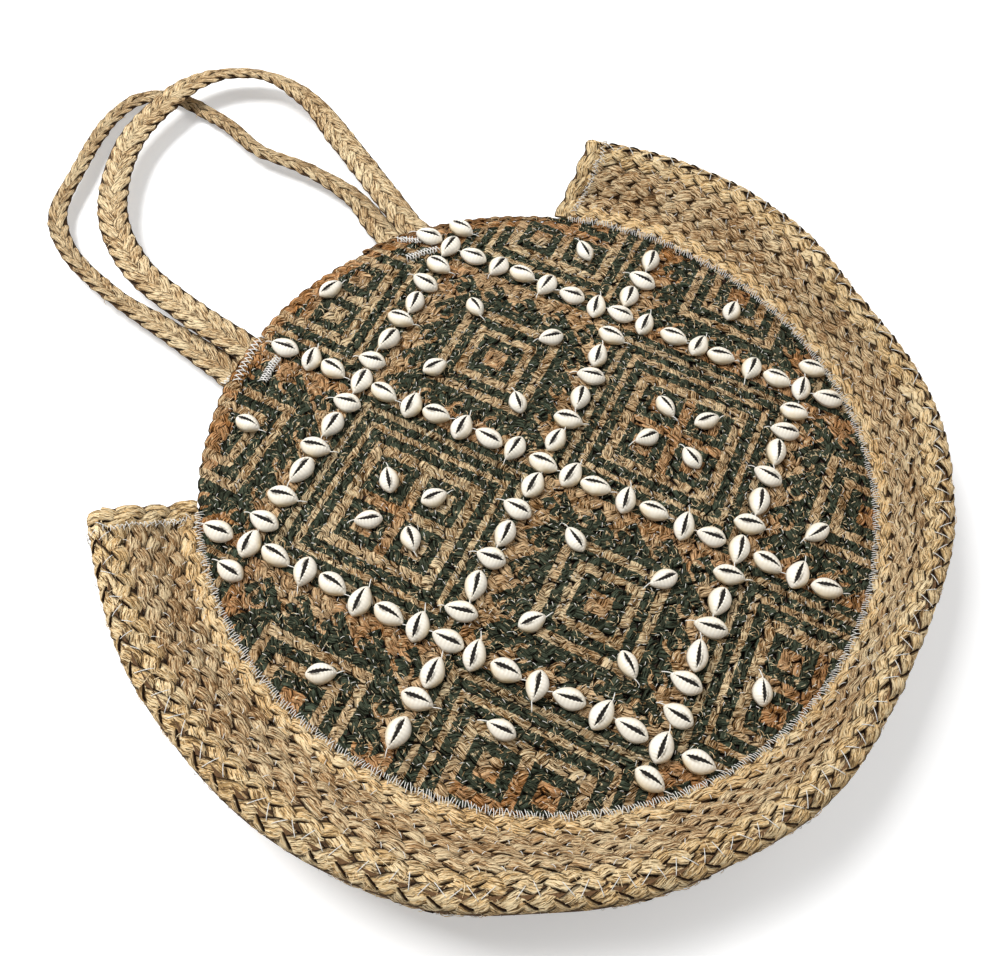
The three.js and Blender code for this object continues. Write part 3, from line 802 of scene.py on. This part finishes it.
def on_layer(piece, upper):
    """The upper layer lifts with the front panel, and the lower one stays with the back panel."""
    if upper:
        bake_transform(piece)
    else:
        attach(piece, "back")


def wobble(rng, reach_along, count, spacing, reach):
    """Slow random sway along a path, in the unit of reach."""
    knots = max(4, int(reach_along / spacing) + 2)
    values = rng.uniform(-1, 1, knots)
    return reach * np.interp(np.linspace(0, knots - 1, count), np.arange(knots), values)


def curve_points(corners, steps):
    """Centripetal Catmull-Rom curve through the corners, as the solids use it, with steps per corner."""
    corners = np.asarray(corners, float)
    line = np.vstack([2 * corners[0] - corners[1], corners, 2 * corners[-1] - corners[-2]])
    gaps = np.sqrt(np.linalg.norm(np.diff(line, axis=0), axis=1))
    t = np.linspace(0, 1, steps, endpoint=False)[:, None]
    parts = []
    for i in range(1, len(line) - 2):
        p0, p1, p2, p3 = line[i - 1:i + 3]
        d0, d1, d2 = gaps[i - 1:i + 2]
        m1 = ((p1 - p0) / d0 - (p2 - p0) / (d0 + d1) + (p2 - p1) / d1) * d1
        m2 = ((p2 - p1) / d1 - (p3 - p1) / (d1 + d2) + (p3 - p2) / d2) * d1
        square, cube = 3 * (p2 - p1) - 2 * m1 - m2, 2 * (p1 - p2) + m1 + m2
        parts.append(p1 + m1 * t + square * t ** 2 + cube * t ** 3)
    return np.vstack(parts + [corners[-1:]])


# Panels

COIL_STEP = 0.0023


def round_directions(angle):
    """Directions outward and along a circle at each angle."""
    out = np.stack([np.cos(angle), np.sin(angle), np.zeros(len(angle))], 1)
    return out, np.stack([-out[:, 1], out[:, 0], out[:, 2]], 1)


def spiral_turns(first, last, step, length_at):
    """Turns of a coil at even steps along it, where length_at gives the length of a whole turn."""
    turns, turn = [], first
    while turn < last:
        turns.append(turn)
        turn += step / length_at(turn)
    return np.array(turns)


def coil_paths(name, pitch, middle, facing, seed, parts=2):
    """Spiral from the middle to the rim, whose last turn narrows away under the rim seam, in a few parts."""
    rng = np.random.default_rng(seed)
    turns = spiral_turns(0.35, PANEL_RADIUS / pitch + 1 - 0.28, COIL_STEP,
                         lambda turn: 2 * math.pi * max(pitch * (turn - 0.5), 0.006))
    count = len(turns)
    inner = np.maximum(pitch * (turns - 1), 0)
    outer = np.minimum(pitch * turns, PANEL_RADIUS)
    radius, half = (inner + outer) / 2, (outer - inner) / 2
    out, _ = round_directions(2 * math.pi * turns * facing)
    reach = COIL_STEP * count
    radius = radius + np.minimum(wobble(rng, reach, count, 0.04, 0.0006), PANEL_RADIUS - radius - half)
    lift = wobble(rng, reach, count, 0.05, 0.00035) * np.minimum(1, half / 0.006)
    points = out * radius[:, None] + UP * (middle + lift)[:, None]
    up = np.tile([0.0, 0.0, facing], (count, 1))
    values = (points, out, up, half * 1.05, distances(points))
    cuts = [round(count * k / parts) for k in range(parts + 1)]
    return [path_mesh(f"{name}_{high}", *(value[low:high + 1] for value in values))
            for low, high in zip(cuts, cuts[1:])]


class BAG_OT_front_panel(bpy.types.Operator):
    """Coils the printed front panel from one braid"""
    bl_idname = "bag.front_panel"
    bl_label = "Front panel"

    def execute(self, context):
        sizes = context.scene.bag_braids
        paths = coil_paths("front_coil", sizes.coil_pitch, FRONT_MIDDLE, 1, 3)
        for word, path in zip(("inner", "outer"), paths):
            panel = braid(f"printed_front_coil_{word}", path, "coil", sizes.coil_lobe, 0.0, "printed_jute")
            hairs = loose_fibres(f"front_coil_hairs_{word}", panel, "coil", 11)
            for piece in (panel, hairs):
                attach(piece, "front")
            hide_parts("front_panel")
        return {"FINISHED"}


class BAG_OT_back_panel(bpy.types.Operator):
    """Coils the plain back panel from one braid"""
    bl_idname = "bag.back_panel"
    bl_label = "Back panel"

    def execute(self, context):
        sizes = context.scene.bag_braids
        paths = coil_paths("back_coil", sizes.coil_pitch, BACK_MIDDLE, -1, 4)
        for word, path in zip(("inner", "outer"), paths):
            panel = braid(f"plain_back_coil_{word}", path, "coil", sizes.coil_lobe, 1.0, "plain_jute")
            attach(panel, "back")
            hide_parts("back_panel")
        return {"FINISHED"}


# Gusset band

def crest_at(angle):
    """Reach and height of the gusset's middle line at its crest."""
    turn = min(max(angle, CREST[0][0]), CREST[-1][0])
    after = max(1, next(i for i, station in enumerate(CREST) if station[0] >= turn))
    (a0, reach0, rise0), (a1, reach1, rise1) = CREST[after - 1], CREST[after]
    share = (1 - math.cos(math.pi * (turn - a0) / (a1 - a0))) / 2
    reach = CREST_REACH * (reach0 + (reach1 - reach0) * share)
    rise = CREST_RISE * (rise0 + (rise1 - rise0) * share)
    return reach - ROW_THICKNESS / 2, FRONT_TOP + rise - ROW_THICKNESS / 2


class Station:
    """Middle line of the gusset at one share of its half angle."""

    steps = 10
    near = 0.0008

    def __init__(self, share):
        self.share = share
        reach, height = crest_at(BOTTOM_ANGLE + share * GUSSET_HALF)
        corners = [(0, FRONT_MIDDLE)]
        corners += [(reach * out, FRONT_MIDDLE + (height - FRONT_MIDDLE) * up) for out, up in UPPER_WALL]
        for turn in map(math.radians, FOLD_TURNS):
            corners.append((reach - FOLD_RADIUS + FOLD_RADIUS * math.cos(turn),
                            height - FOLD_RADIUS + FOLD_RADIUS * math.sin(turn)))
        corners += [(reach * out, BACK_MIDDLE + (height - BACK_MIDDLE) * up) for out, up in LOWER_WALL]
        corners.append((0, BACK_MIDDLE))
        self.line = curve_points([(PANEL_RADIUS + out, z) for out, z in corners], self.steps)
        self.lengths = distances(self.line)
        self.whole = self.lengths[-1]
        self.crest = self.lengths[self.steps * (1 + len(UPPER_WALL) + FOLD_TURNS.index(90))]
        fold_end = self.crest + FOLD_ROW_WIDTH
        self.seams = [self.crest * i / 5 for i in range(6)]
        self.seams += [fold_end + (self.whole - fold_end) * i / 5 for i in range(6)]

    def point(self, along, offset=0.0, share=None):
        """Place, direction across the rows and outward direction of a point on the band."""
        spots = [min(max(along + step, 0), self.whole) for step in (-self.near, self.near)]
        before, after, place = sampled(self.line, [*spots, along], self.lengths)
        tangent = unit(after - before)
        normal = np.array([-tangent[1], tangent[0]])
        lean = CREST_LEAN * math.sin(math.pi * min(max(along / self.whole, 0), 1))
        angle = math.radians(BOTTOM_ANGLE + (self.share if share is None else share) * (GUSSET_HALF - lean))
        out = np.array([math.cos(angle), math.sin(angle), 0])
        return [value[0] * out + value[1] * UP for value in (place + normal * offset, tangent, normal)]


@cache
def stations():
    """Stations round the whole band, from one end of the mouth to the other."""
    end = 1 + HEM_GAP_ANGLE * 3 / GUSSET_HALF
    return [Station(share) for share in np.linspace(-end, end, BAND_STATIONS)]


def row_path(row, seed):
    rng = np.random.default_rng(seed)
    found = []
    for station in stations():
        start, end = station.seams[row:row + 2]
        found.append((*station.point((start + end) / 2), (end - start) / 2))
    middles, sides, ups, halves = columns(found)
    for direction, spacing, reach in ((sides, 0.03, 0.0008), (ups, 0.04, 0.0006)):
        middles += direction * wobble(rng, BAND_LENGTH, len(middles), spacing, reach)[:, None]
    bend = FOLD_BENDS.get(row, 0.0) / FOLD_RADIUS
    return path_mesh(f"row_{row + 1}", middles, sides, ups, halves * (1.16 if bend else 1.08), bend=bend)


class BAG_OT_gusset_rows(bpy.types.Operator):
    """Braids the eleven rows of the gusset"""
    bl_idname = "bag.gusset_rows"
    bl_label = "Gusset rows"

    def execute(self, context):
        lobe = context.scene.bag_braids.row_lobe
        for row, straw in enumerate(ROW_STRAWS):
            number = f"{row + 1:02d}"
            path = row_path(row, 20 + row)
            piece = braid(f"braided_row_{number}", path, "row", lobe, row * ROW_PHASE, straw)
            look = "crest" if straw == "pale_jute" else "row"
            hairs = loose_fibres(f"row_hairs_{number}", piece, look, 40 + row)
            for part in (piece, hairs):
                on_layer(part, row < UPPER_ROWS)
            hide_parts(f"gusset_row_{number}")
        return {"FINISHED"}


def hem_path(name, side, low, high):
    """Middle line of a hem over the gusset's end, from one distance along the band to another."""
    end = Station(side)
    share = side * (1 + (HEM_GAP_ANGLE + HEM_ANGLE / 2) / GUSSET_HALF)
    count = max(12, int((high - low) / 0.002))
    points, along, up = columns(end.point(at, 0, share) for at in np.linspace(low, high, count))
    return path_mesh(name, points, unit(np.cross(up, along)), up, np.full(count, HEM_WIDTH / 2 * 1.4))


class BAG_OT_hems(bpy.types.Operator):
    """Braids the hems over both ends of the gusset, each in a front and a back half"""
    bl_idname = "bag.hems"
    bl_label = "Hems"

    def execute(self, context):
        lobe = context.scene.bag_braids.row_lobe * 1.2
        for side, word in ENDS:
            end = Station(side)
            for half, low, high in (("front", 0.0005, end.crest), ("back", end.crest, end.whole - 0.0005)):
                path = hem_path(f"{word}_{half}_hem_line", side, low, high)
                piece = braid(f"{word}_hem_{half}_braid", path, "hem", lobe, 0.7 * side, "pale_jute")
                on_layer(piece, half == "front")
                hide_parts(f"{word}_hem_{half}_half")
        return {"FINISHED"}


# Handles

def handle_path(name, route, middle, width):
    """Sewn end, loop and other sewn end of a handle as one line."""
    start = (0, FOLD_LINE / MM + SEAM_GAP / MM, middle / MM)
    loop = curve_points([(start + np.array(corner[:3])) * MM for corner in route], 40)

    # Roll and share of the width ease from corner to corner
    looks = np.array([corner[3:] for corner in route], float)
    place = np.linspace(0, len(route) - 1, len(loop))
    before = np.minimum(place.astype(int), len(route) - 2)
    part = (place - before)[:, None]
    looks = looks[before] + (looks[before + 1] - looks[before]) * (part * part * (3 - 2 * part))
    looks[:, 0] = np.radians(looks[:, 0])

    sewn = np.outer(np.linspace(SEWN_LENGTH, 0.002, 20), [0, 1, 0])
    flat = np.tile([0, 1], (len(sewn), 1))
    points = np.vstack([loop[0] - sewn, loop, loop[-1] - sewn[::-1]])
    lengths = distances(points)
    even = np.linspace(0, lengths[-1], int(lengths[-1] / 0.0015))
    line = sampled(np.hstack([points, np.vstack([flat, looks, flat])]), even, lengths)
    points, roll, share = line[:, :3], line[:, 3:4], line[:, 4]
    tangent = unit(np.gradient(points, axis=0))
    across = unit(np.cross(tangent, UP))
    wide = across * np.cos(roll) + np.cross(tangent, across) * np.sin(roll)
    return path_mesh(name, points, wide, unit(np.cross(wide, tangent)), share * width / 2)


class BAG_OT_handles(bpy.types.Operator):
    """Braids both handles, each as one flat strap with its two sewn ends"""
    bl_idname = "bag.handles"
    bl_label = "Handles"

    def execute(self, context):
        sizes = context.scene.bag_braids
        for body, route, middle, bend_start in (
                ("front", FRONT_ROUTE, FRONT_STRAP_MIDDLE, FRONT_BEND_START),
                ("back", BACK_ROUTE, BACK_STRAP_MIDDLE, BACK_BEND_START)):
            path = handle_path(f"{body}_strap_line", route, middle, sizes.handle_width)
            strap = braid(f"{body}_strap", path, "handle", sizes.handle_lobe, 0.4, "strap_jute",
                          Strands=sizes.handle_strands)
            hairs = loose_fibres(f"{body}_strap_hairs", strap, "handle", 70)
            for part in (strap, hairs):
                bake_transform(part)
            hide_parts(f"{body}_handle", f"{body}_handle_left_end", f"{body}_handle_right_end")
        return {"FINISHED"}


# Shells

def tube_faces(rings, around):
    """Faces between closed rings of points."""
    sides = [(i * around, k, (k + 1) % around) for i in range(rings - 1) for k in range(around)]
    return [(ring + a, ring + a + around, ring + b + around, ring + b) for ring, a, b in sides]


def cowrie_object():
    """Cowrie of unit length, width and height on its back, with masks for its flank and for the painted shade
    of its opening and of its tooth grooves.
    """
    rings = 27
    left, right = (-1, -0.93, -0.80, -0.62, -0.40, -0.18), (0.38, 0.56, 0.72, 0.86, 0.95, 1)
    points, masks = [], []
    for i in range(rings):
        u = -math.cos(math.pi * i / (rings - 1))
        width = (1 - abs(u) ** 1.9) ** 0.70 * (1 - 0.14 * u)
        height = (1 - abs(u) ** 2.6) ** 0.5
        middle = 0.12 + 0.05 * math.sin(2 * u)
        opening = max(0.0, 1 - (abs(u) / 0.84) ** 4) * (0.30 - 0.12 * u)
        tooth = 0.78 if i % 2 else 1.06
        lips = [middle - opening * tooth, middle - opening * 0.5 * tooth,
                middle + opening * 0.5 * (1.55 - tooth), middle + opening * (1.55 - tooth)]
        lanes = [*left, *lips, *right]
        for k, v in enumerate(lanes):
            inside = 7 <= k <= 8 and opening > 0
            rise = math.sqrt(max(0.0, 1 - v * v)) ** 0.9 * height
            if k in (6, 9) and opening > 0:
                rise *= 1.03
            points.append((u / 2, v * width / 2, rise * (0.80 if inside else 1.0)))
            # Painted shade mask for the tooth grooves, strongest near the opening
            tooth_groove_shade_mask = (i % 2) * max(0.0, 1 - abs(v - middle))
            masks.append((max(0.0, -v) ** 1.5, inside * (opening > 0.01), tooth_groove_shade_mask * (opening > 0.01)))
    mesh = bpy.data.meshes.new("cowrie")
    mesh.from_pydata(points, [], tube_faces(rings, len(lanes)))
    flank, slit, teeth = columns(masks)
    put_attributes(mesh, flank=flank, slit=slit, teeth=teeth)
    form = bmesh.new()
    form.from_mesh(mesh)
    bmesh.ops.remove_doubles(form, verts=form.verts, dist=1e-5)
    bmesh.ops.recalc_face_normals(form, faces=form.faces)
    form.to_mesh(mesh)
    form.free()
    for face in mesh.polygons:
        face.use_smooth = True
    return new_object("cowrie_shape", mesh)


def on_grid(along, across):
    c, s = math.cos(GRID_TURN), math.sin(GRID_TURN)
    return c * along - s * across, s * along + c * across


def line_turn(step):
    return 0 if step % 2 == 0 else 90


def cross_line_turn(line, step):
    place = abs(step) % SHELLS_PER_CELL
    if line != 0 and place == SHELLS_PER_CELL - 1:
        return 0
    return line_turn(place + line * SHELLS_PER_CELL)


def shell_places():
    """Name of each shell node with the places of its shells: (along, across, turn)."""
    last = int(210 // SHELL_PITCH)
    steps = range(-last, last + 1)
    found = {}
    for line, across in ((1, SHELL_GRID), (2, 0), (3, -SHELL_GRID)):
        found[f"shell_line_{line}"] = [(s * SHELL_PITCH, across, line_turn(s)) for s in steps]
    for line in (-1, 0, 1):
        for cell in (-2, -1, 0, 1):
            found[f"shell_cross_line_{line + 2}_part_{cell + 3}"] = [
                (line * SHELL_GRID, s * SHELL_PITCH, cross_line_turn(line, s)) for s in steps
                if cell * SHELLS_PER_CELL < s < (cell + 1) * SHELLS_PER_CELL]
    for number, (along, across, spread) in enumerate(GROUPS, 1):
        x, y = along * SHELL_GRID + GROUP_SHIFT[0], across * SHELL_GRID + GROUP_SHIFT[1]
        found[f"shell_group_{number}"] = [
            (x + a * spread, y + b * spread, 45 + 90 * k) for k, (a, b) in enumerate(SQUARE)]
    found = {name: [p for p in places if math.hypot(*p[:2]) <= SHELL_REACH] for name, places in found.items()}
    for number, (along, across, turn) in enumerate(SINGLES, 1):
        found[f"single_shell_{number}"] = [(along * SINGLE_FAR, across * SINGLE_FAR, turn)]
    return found


class BAG_OT_shells(bpy.types.Operator):
    """Sews the cowrie shells onto the front panel"""
    bl_idname = "bag.shells"
    bl_label = "Cowrie shells"

    def execute(self, context):
        sizes = context.scene.bag_shells
        whole = np.array([sizes.length, sizes.width, sizes.height])
        rng = np.random.default_rng(context.scene.bag_stitches.seed)
        shape = cowrie_object()
        ends = []
        for name, places in shell_places().items():
            small = 1.0 if "line" in name else SMALL_SHELL
            laid = []
            for along, across, turn in places:
                x, y = on_grid(along + rng.uniform(-1.6, 1.6) * small, across + rng.uniform(-1.3, 1.3))
                angle = GRID_TURN + math.radians(turn + rng.uniform(-12, 12))
                angle += math.pi if rng.random() < 0.5 else 0
                spot = np.array([x * MM, y * MM, SHELL_FLOOR])
                way = np.array([math.cos(angle), math.sin(angle), 0])
                direction = way + UP * rng.uniform(-0.05, 0.05)
                up = (*rng.uniform(-0.10, 0.10, 2), 1)
                size = whole * small * rng.uniform(0.93, 1.03, 3)
                laid.append((spot, direction, up, size))
                tail = (math.cos(angle + 0.3), math.sin(angle + 0.3), -0.1)
                ends.append((spot + way * size[0] * 0.60, tail))
            piece = grown(f"cowries_{name}", point_mesh(name, *columns(laid)), scatter_tree(), {
                "Shape": shape, "Size jitter": 0.0, "Finish": material("cowrie_gloss")})
            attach(piece, "front")
            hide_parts(name)
        bpy.data.objects.remove(shape)
        tips, tails = columns(ends)
        lengths = rng.uniform(0.004, 0.0075, len(tips))
        threads = stitches("shell_threads", tips + UP * 0.0008, tails, lengths, SHELL_THREAD)
        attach(threads, "front")
        return {"FINISHED"}


# Stitching

def stitch_object():
    """Thread over a seam, one metre long and one metre thick, arched along X."""
    rings, sides = 6, 5
    points = []
    for i in range(rings):
        t = i / (rings - 1)
        x, z = t - 0.5, -1.1 + 1.9 * math.sin(math.pi * t) ** 0.6
        for k in range(sides):
            turn = 2 * math.pi * k / sides
            points.append((x, 0.5 * math.cos(turn), z + 0.5 * math.sin(turn)))
    numbers = range(len(points))
    mesh = bpy.data.meshes.new("stitch")
    mesh.from_pydata(points, [], [*tube_faces(rings, sides), numbers[:sides], numbers[:-sides - 1:-1]])
    for face in mesh.polygons:
        face.use_smooth = len(face.vertices) == 4
    mesh.update()
    return new_object("stitch_shape", mesh)


def stitches(name, spots, directions, lengths, thickness, up=(0, 0, 1)):
    """One piece of stitches, with one upward direction for all or one for each."""
    count = len(spots)
    sizes = np.stack([lengths, np.full(count, thickness), np.full(count, thickness)], 1)
    places = point_mesh(f"{name}_places", spots, directions, np.broadcast_to(up, (count, 3)), sizes)
    shape = stitch_object()
    piece = grown(name, places, scatter_tree(), {
        "Shape": shape, "Size jitter": 0.06, "Finish": material("white_thread")})
    bpy.data.objects.remove(shape)
    return piece


def zigzag(count):
    """-1 and 1 by turns."""
    return np.where(np.arange(count) % 2, 1, -1)


def slanted(across, run, slant):
    """Directions across a seam that slant along it."""
    return unit(across + run * slant[:, None])


def seam_spots(seam, lift, pitch):
    """Even steps along one seam of the gusset: places and the directions across, outward and along."""
    places, across, up = columns(station.point(station.seams[seam], lift) for station in stations())
    lengths = distances(places)
    at = np.interp(np.arange(0, lengths[-1], pitch), lengths, np.arange(len(places)))
    places, across, up = (sampled(values, at) for values in (places, across, up))
    return places, across, up, unit(np.gradient(places, axis=0))


class BAG_OT_rim_seam(bpy.types.Operator):
    """Sews the gusset to the front and back panels with dense white stitches"""
    bl_idname = "bag.rim_seam"
    bl_label = "Rim seams"

    def execute(self, context):
        sizes = context.scene.bag_stitches
        for body, seam, seed in (("front", 0, 5), ("back", 10, 6)):
            rng = np.random.default_rng(sizes.seed + seed)
            lift, shortest, longest, thickness = SEAMS["rim"]
            places, across, up, run = seam_spots(seam, lift, sizes.rim_pitch)
            count = len(places)
            slant = np.where(rng.random(count) < 0.25, -1, 1) * rng.uniform(0.05, 0.45, count)
            places = places + across * rng.uniform(-0.0012, 0.0012, (count, 1))
            piece = stitches(f"{body}_rim_seam", places, slanted(across, run, slant),
                             rng.uniform(shortest, longest, count), sizes.thread * thickness, up)
            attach(piece, body)
        return {"FINISHED"}


class BAG_OT_row_seams(bpy.types.Operator):
    """Sews the gusset's rows to each other with zigzag stitches"""
    bl_idname = "bag.row_seams"
    bl_label = "Row seams"

    def execute(self, context):
        sizes = context.scene.bag_stitches
        for seam in range(1, 10):
            rng = np.random.default_rng(sizes.seed + 30 + seam)
            look, spacing, chance = ("fold", 1.0, 0.82) if seam == FOLD_SEAM else ("row", 0.8, 0.5)
            lift, shortest, longest, thickness = SEAMS[look]
            places, across, up, run = seam_spots(seam, lift, sizes.fold_pitch * spacing)
            count = len(places)
            kept = rng.random(count) < chance
            direction = slanted(across, run, zigzag(count) * rng.uniform(0.2, 1.2, count))
            lengths = rng.uniform(shortest, longest, count)
            places = places + across * rng.uniform(-0.001, 0.001, (count, 1))
            piece = stitches(f"row_seam_{seam:02d}", places[kept], direction[kept], lengths[kept],
                             sizes.thread * thickness, up[kept])
            on_layer(piece, seam < FOLD_SEAM)
        return {"FINISHED"}


class BAG_OT_coil_stitches(bpy.types.Operator):
    """Sews the coil turns of the panels together with short stitches"""
    bl_idname = "bag.coil_stitches"
    bl_label = "Coil stitches"

    def execute(self, context):
        sizes = context.scene.bag_stitches
        pitch = context.scene.bag_braids.coil_pitch
        every_turn = spiral_turns(
            1.2, (PANEL_RADIUS - 0.008) / pitch, COIL_STITCH_STEP, lambda turn: 2 * math.pi * pitch * turn)
        lift, shortest, longest, thickness = SEAMS["coil"]
        for body, middle, facing, share in (("front", FRONT_MIDDLE, 1, 0.75), ("back", BACK_MIDDLE, -1, 0.6)):
            rng = np.random.default_rng(sizes.seed + 60 + facing)
            turns = every_turn[rng.random(len(every_turn)) < share]
            count = len(turns)
            out, run = round_directions(2 * math.pi * turns * facing)
            spots = out * (pitch * turns + rng.uniform(-0.0035, 0.0035, count))[:, None]
            spots[:, 2] = middle + facing * lift
            direction = slanted(out, run, zigzag(count) * rng.uniform(0.1, 3.0, count))
            piece = stitches(f"{body}_coil_stitches", spots, direction, rng.uniform(shortest, longest, count),
                             sizes.thread * thickness, (0, 0, facing))
            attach(piece, body)
        return {"FINISHED"}


class BAG_OT_hem_stitches(bpy.types.Operator):
    """Sews the hems down on the gusset's ends with a close zigzag"""
    bl_idname = "bag.hem_stitches"
    bl_label = "Hem stitches"

    def execute(self, context):
        sizes = context.scene.bag_stitches
        lift, shortest, longest, thickness = SEAMS["hem"]
        inset = 0.0012 / (PANEL_RADIUS * math.radians(GUSSET_HALF))
        for side, word in ENDS:
            rng = np.random.default_rng(sizes.seed + 80 + side)
            end = Station(side)
            share = side * (1 + HEM_GAP_ANGLE / GUSSET_HALF - inset)
            halves = (("front", 0.006, end.crest), ("back", end.crest + 0.002, end.whole - 0.006))
            for half, low, high in halves:
                steps = np.arange(low, high, HEM_STITCH_STEP)
                places, along, up = columns(end.point(at, lift, share) for at in steps)
                count = len(places)
                run = unit(np.cross(up, along))
                slant = zigzag(count) * rng.uniform(0.0, 1.3, count)
                places = places + run * rng.uniform(-0.0012, 0.0012, (count, 1))
                piece = stitches(f"{word}_hem_{half}_stitches", places, slanted(run, along, slant),
                                 rng.uniform(shortest, longest, count), sizes.thread * thickness, up)
                on_layer(piece, half == "front")
        return {"FINISHED"}


class BAG_OT_handle_stitches(bpy.types.Operator):
    """Sews both handles' ends to the panels with two rows of zigzag each"""
    bl_idname = "bag.handle_stitches"
    bl_label = "Handle stitches"

    def execute(self, context):
        thread = context.scene.bag_stitches.thread
        rng = np.random.default_rng(context.scene.bag_stitches.seed + 90)
        shortest, longest = HANDLE_STITCH_LENGTH
        share = np.arange(HANDLE_STITCHES) / (HANDLE_STITCHES - 1)
        slant = zigzag(HANDLE_STITCHES) * HANDLE_STITCH_SLANT
        rows = []
        for from_angle, to_angle, from_radius, to_radius in FRONT_HANDLE_ROWS:
            out, run = round_directions(np.radians(from_angle + (to_angle - from_angle) * share))
            shift, lengths = rng.uniform((-0.0006, shortest), (0.0006, longest), (HANDLE_STITCHES, 2)).T
            radius = from_radius + (to_radius - from_radius) * share + shift
            spots = out * radius[:, None] + UP * (FRONT_TOP - 0.0006)
            rows.append((spots, slanted(out, run, slant), lengths))
        piece = stitches("handle_stitches", *(np.concatenate(column) for column in zip(*rows)), thread)
        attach(piece, "front")

        spots = [(route[0] * MM + across, FOLD_LINE - before_fold, BACK_STRAP_MIDDLE + 0.0026)
                 for route in (BACK_ROUTE[0], BACK_ROUTE[-1]) for before_fold in BACK_HANDLE_ROWS
                 for across in np.linspace(-0.009, 0.009, 16)]
        count = len(spots)
        directions = unit(np.stack([zigzag(count) * HANDLE_STITCH_SLANT, np.ones(count), np.zeros(count)], 1))
        lengths = rng.uniform(shortest, longest, count)
        piece = stitches("back_handle_stitches", spots, directions, lengths, thread)
        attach(piece, "back")
        return {"FINISHED"}


# Stage

class BAG_OT_stage(bpy.types.Operator):
    """Makes the pale floor, the soft lights and the camera"""
    bl_idname = "bag.stage"
    bl_label = "Stage"

    def execute(self, context):
        scene = context.scene
        scene.view_settings.view_transform = "Standard"
        mesh = bpy.data.meshes.new("floor")
        corners = [(x * FLOOR_REACH, y * FLOOR_REACH, FLOOR_HEIGHT) for x, y in SQUARE]
        mesh.from_pydata(corners, [], [(0, 1, 2, 3)])
        floor = new_object("floor", mesh)
        paper, w, shader = new_material("pale_paper")
        seen, = w.outs(["Is Camera Ray"], "ShaderNodeLightPath")
        for key, value in (
                ("Base Color", (0.80, 0.80, 0.80, 1)), ("Roughness", 0.9), ("Specular IOR Level", 0.1),
                ("Emission Color", (1, 1, 1, 1)), ("Emission Strength", seen * 0.35)):
            w.feed(shader, key, value)
        mesh.materials.append(paper)

        scene.world = bpy.data.worlds.new("soft_room")
        w, background = wired(scene.world, "ShaderNodeBackground")
        seen, = w.outs(["Is Camera Ray"], "ShaderNodeLightPath")
        w.feed(background, "Color", (1, 1, 1, 1))
        w.feed(background, "Strength", w.range(seen, 0, 1, 0.30, 1.0))
        for name, place, power, size in LIGHTS:
            lamp = bpy.data.lights.new(name, "AREA")
            lamp.energy, lamp.size = power, size
            holder = new_object(name, lamp)
            holder.location = place
            holder.rotation_mode = "QUATERNION"
            holder.rotation_quaternion = (Vector(LIT_SPOT) - Vector(place)).to_track_quat("-Z", "Y")

        camera = bpy.data.cameras.new("camera")
        camera.lens, camera.sensor_width, camera.sensor_fit = 34.05, 36, "HORIZONTAL"
        camera.clip_start, camera.clip_end = 0.02, 50
        scene.camera = new_object("camera", camera)
        turn = Matrix(CAMERA_AXES).transposed().to_4x4()
        scene.camera.matrix_world = Matrix.Translation(CAMERA_PLACE) @ turn
        return {"FINISHED"}


OPERATORS = (
    BAG_OT_stage, BAG_OT_front_panel, BAG_OT_back_panel, BAG_OT_gusset_rows, BAG_OT_hems, BAG_OT_handles,
    BAG_OT_shells, BAG_OT_rim_seam, BAG_OT_row_seams, BAG_OT_coil_stitches, BAG_OT_hem_stitches,
    BAG_OT_handle_stitches,
)
PROPERTY_GROUPS = {
    "bag_braids": BraidSizes, "bag_stitches": StitchSizes, "bag_shells": ShellSizes, "bag_colours": Colours,
}


class BAG_PT_sidebar(bpy.types.Panel):
    """Lists the bag's sizes, colours and pieces"""
    bl_idname = "BAG_PT_sidebar"
    bl_label = "Straw bag"
    bl_space_type = "VIEW_3D"
    bl_region_type = "UI"
    bl_category = "Straw bag"

    def draw(self, context):
        for name, group in PROPERTY_GROUPS.items():
            box = self.layout.box()
            box.label(text=group.__doc__)
            for key in group.__annotations__:
                box.prop(getattr(context.scene, name), key)
        for operator in OPERATORS:
            self.layout.operator(operator.bl_idname)


def register():
    for name, group in PROPERTY_GROUPS.items():
        bpy.utils.register_class(group)
        setattr(bpy.types.Scene, name, PointerProperty(type=group))
    for item in (*OPERATORS, BAG_PT_sidebar):
        bpy.utils.register_class(item)


def unregister():
    for item in reversed((*OPERATORS, BAG_PT_sidebar)):
        bpy.utils.unregister_class(item)
    for name, group in reversed(PROPERTY_GROUPS.items()):
        delattr(bpy.types.Scene, name)
        bpy.utils.unregister_class(group)


def main():
    register()
    for operator in OPERATORS:
        group, name = operator.bl_idname.split(".")
        getattr(getattr(bpy.ops, group), name)()


if __name__ == "__main__":
    main()
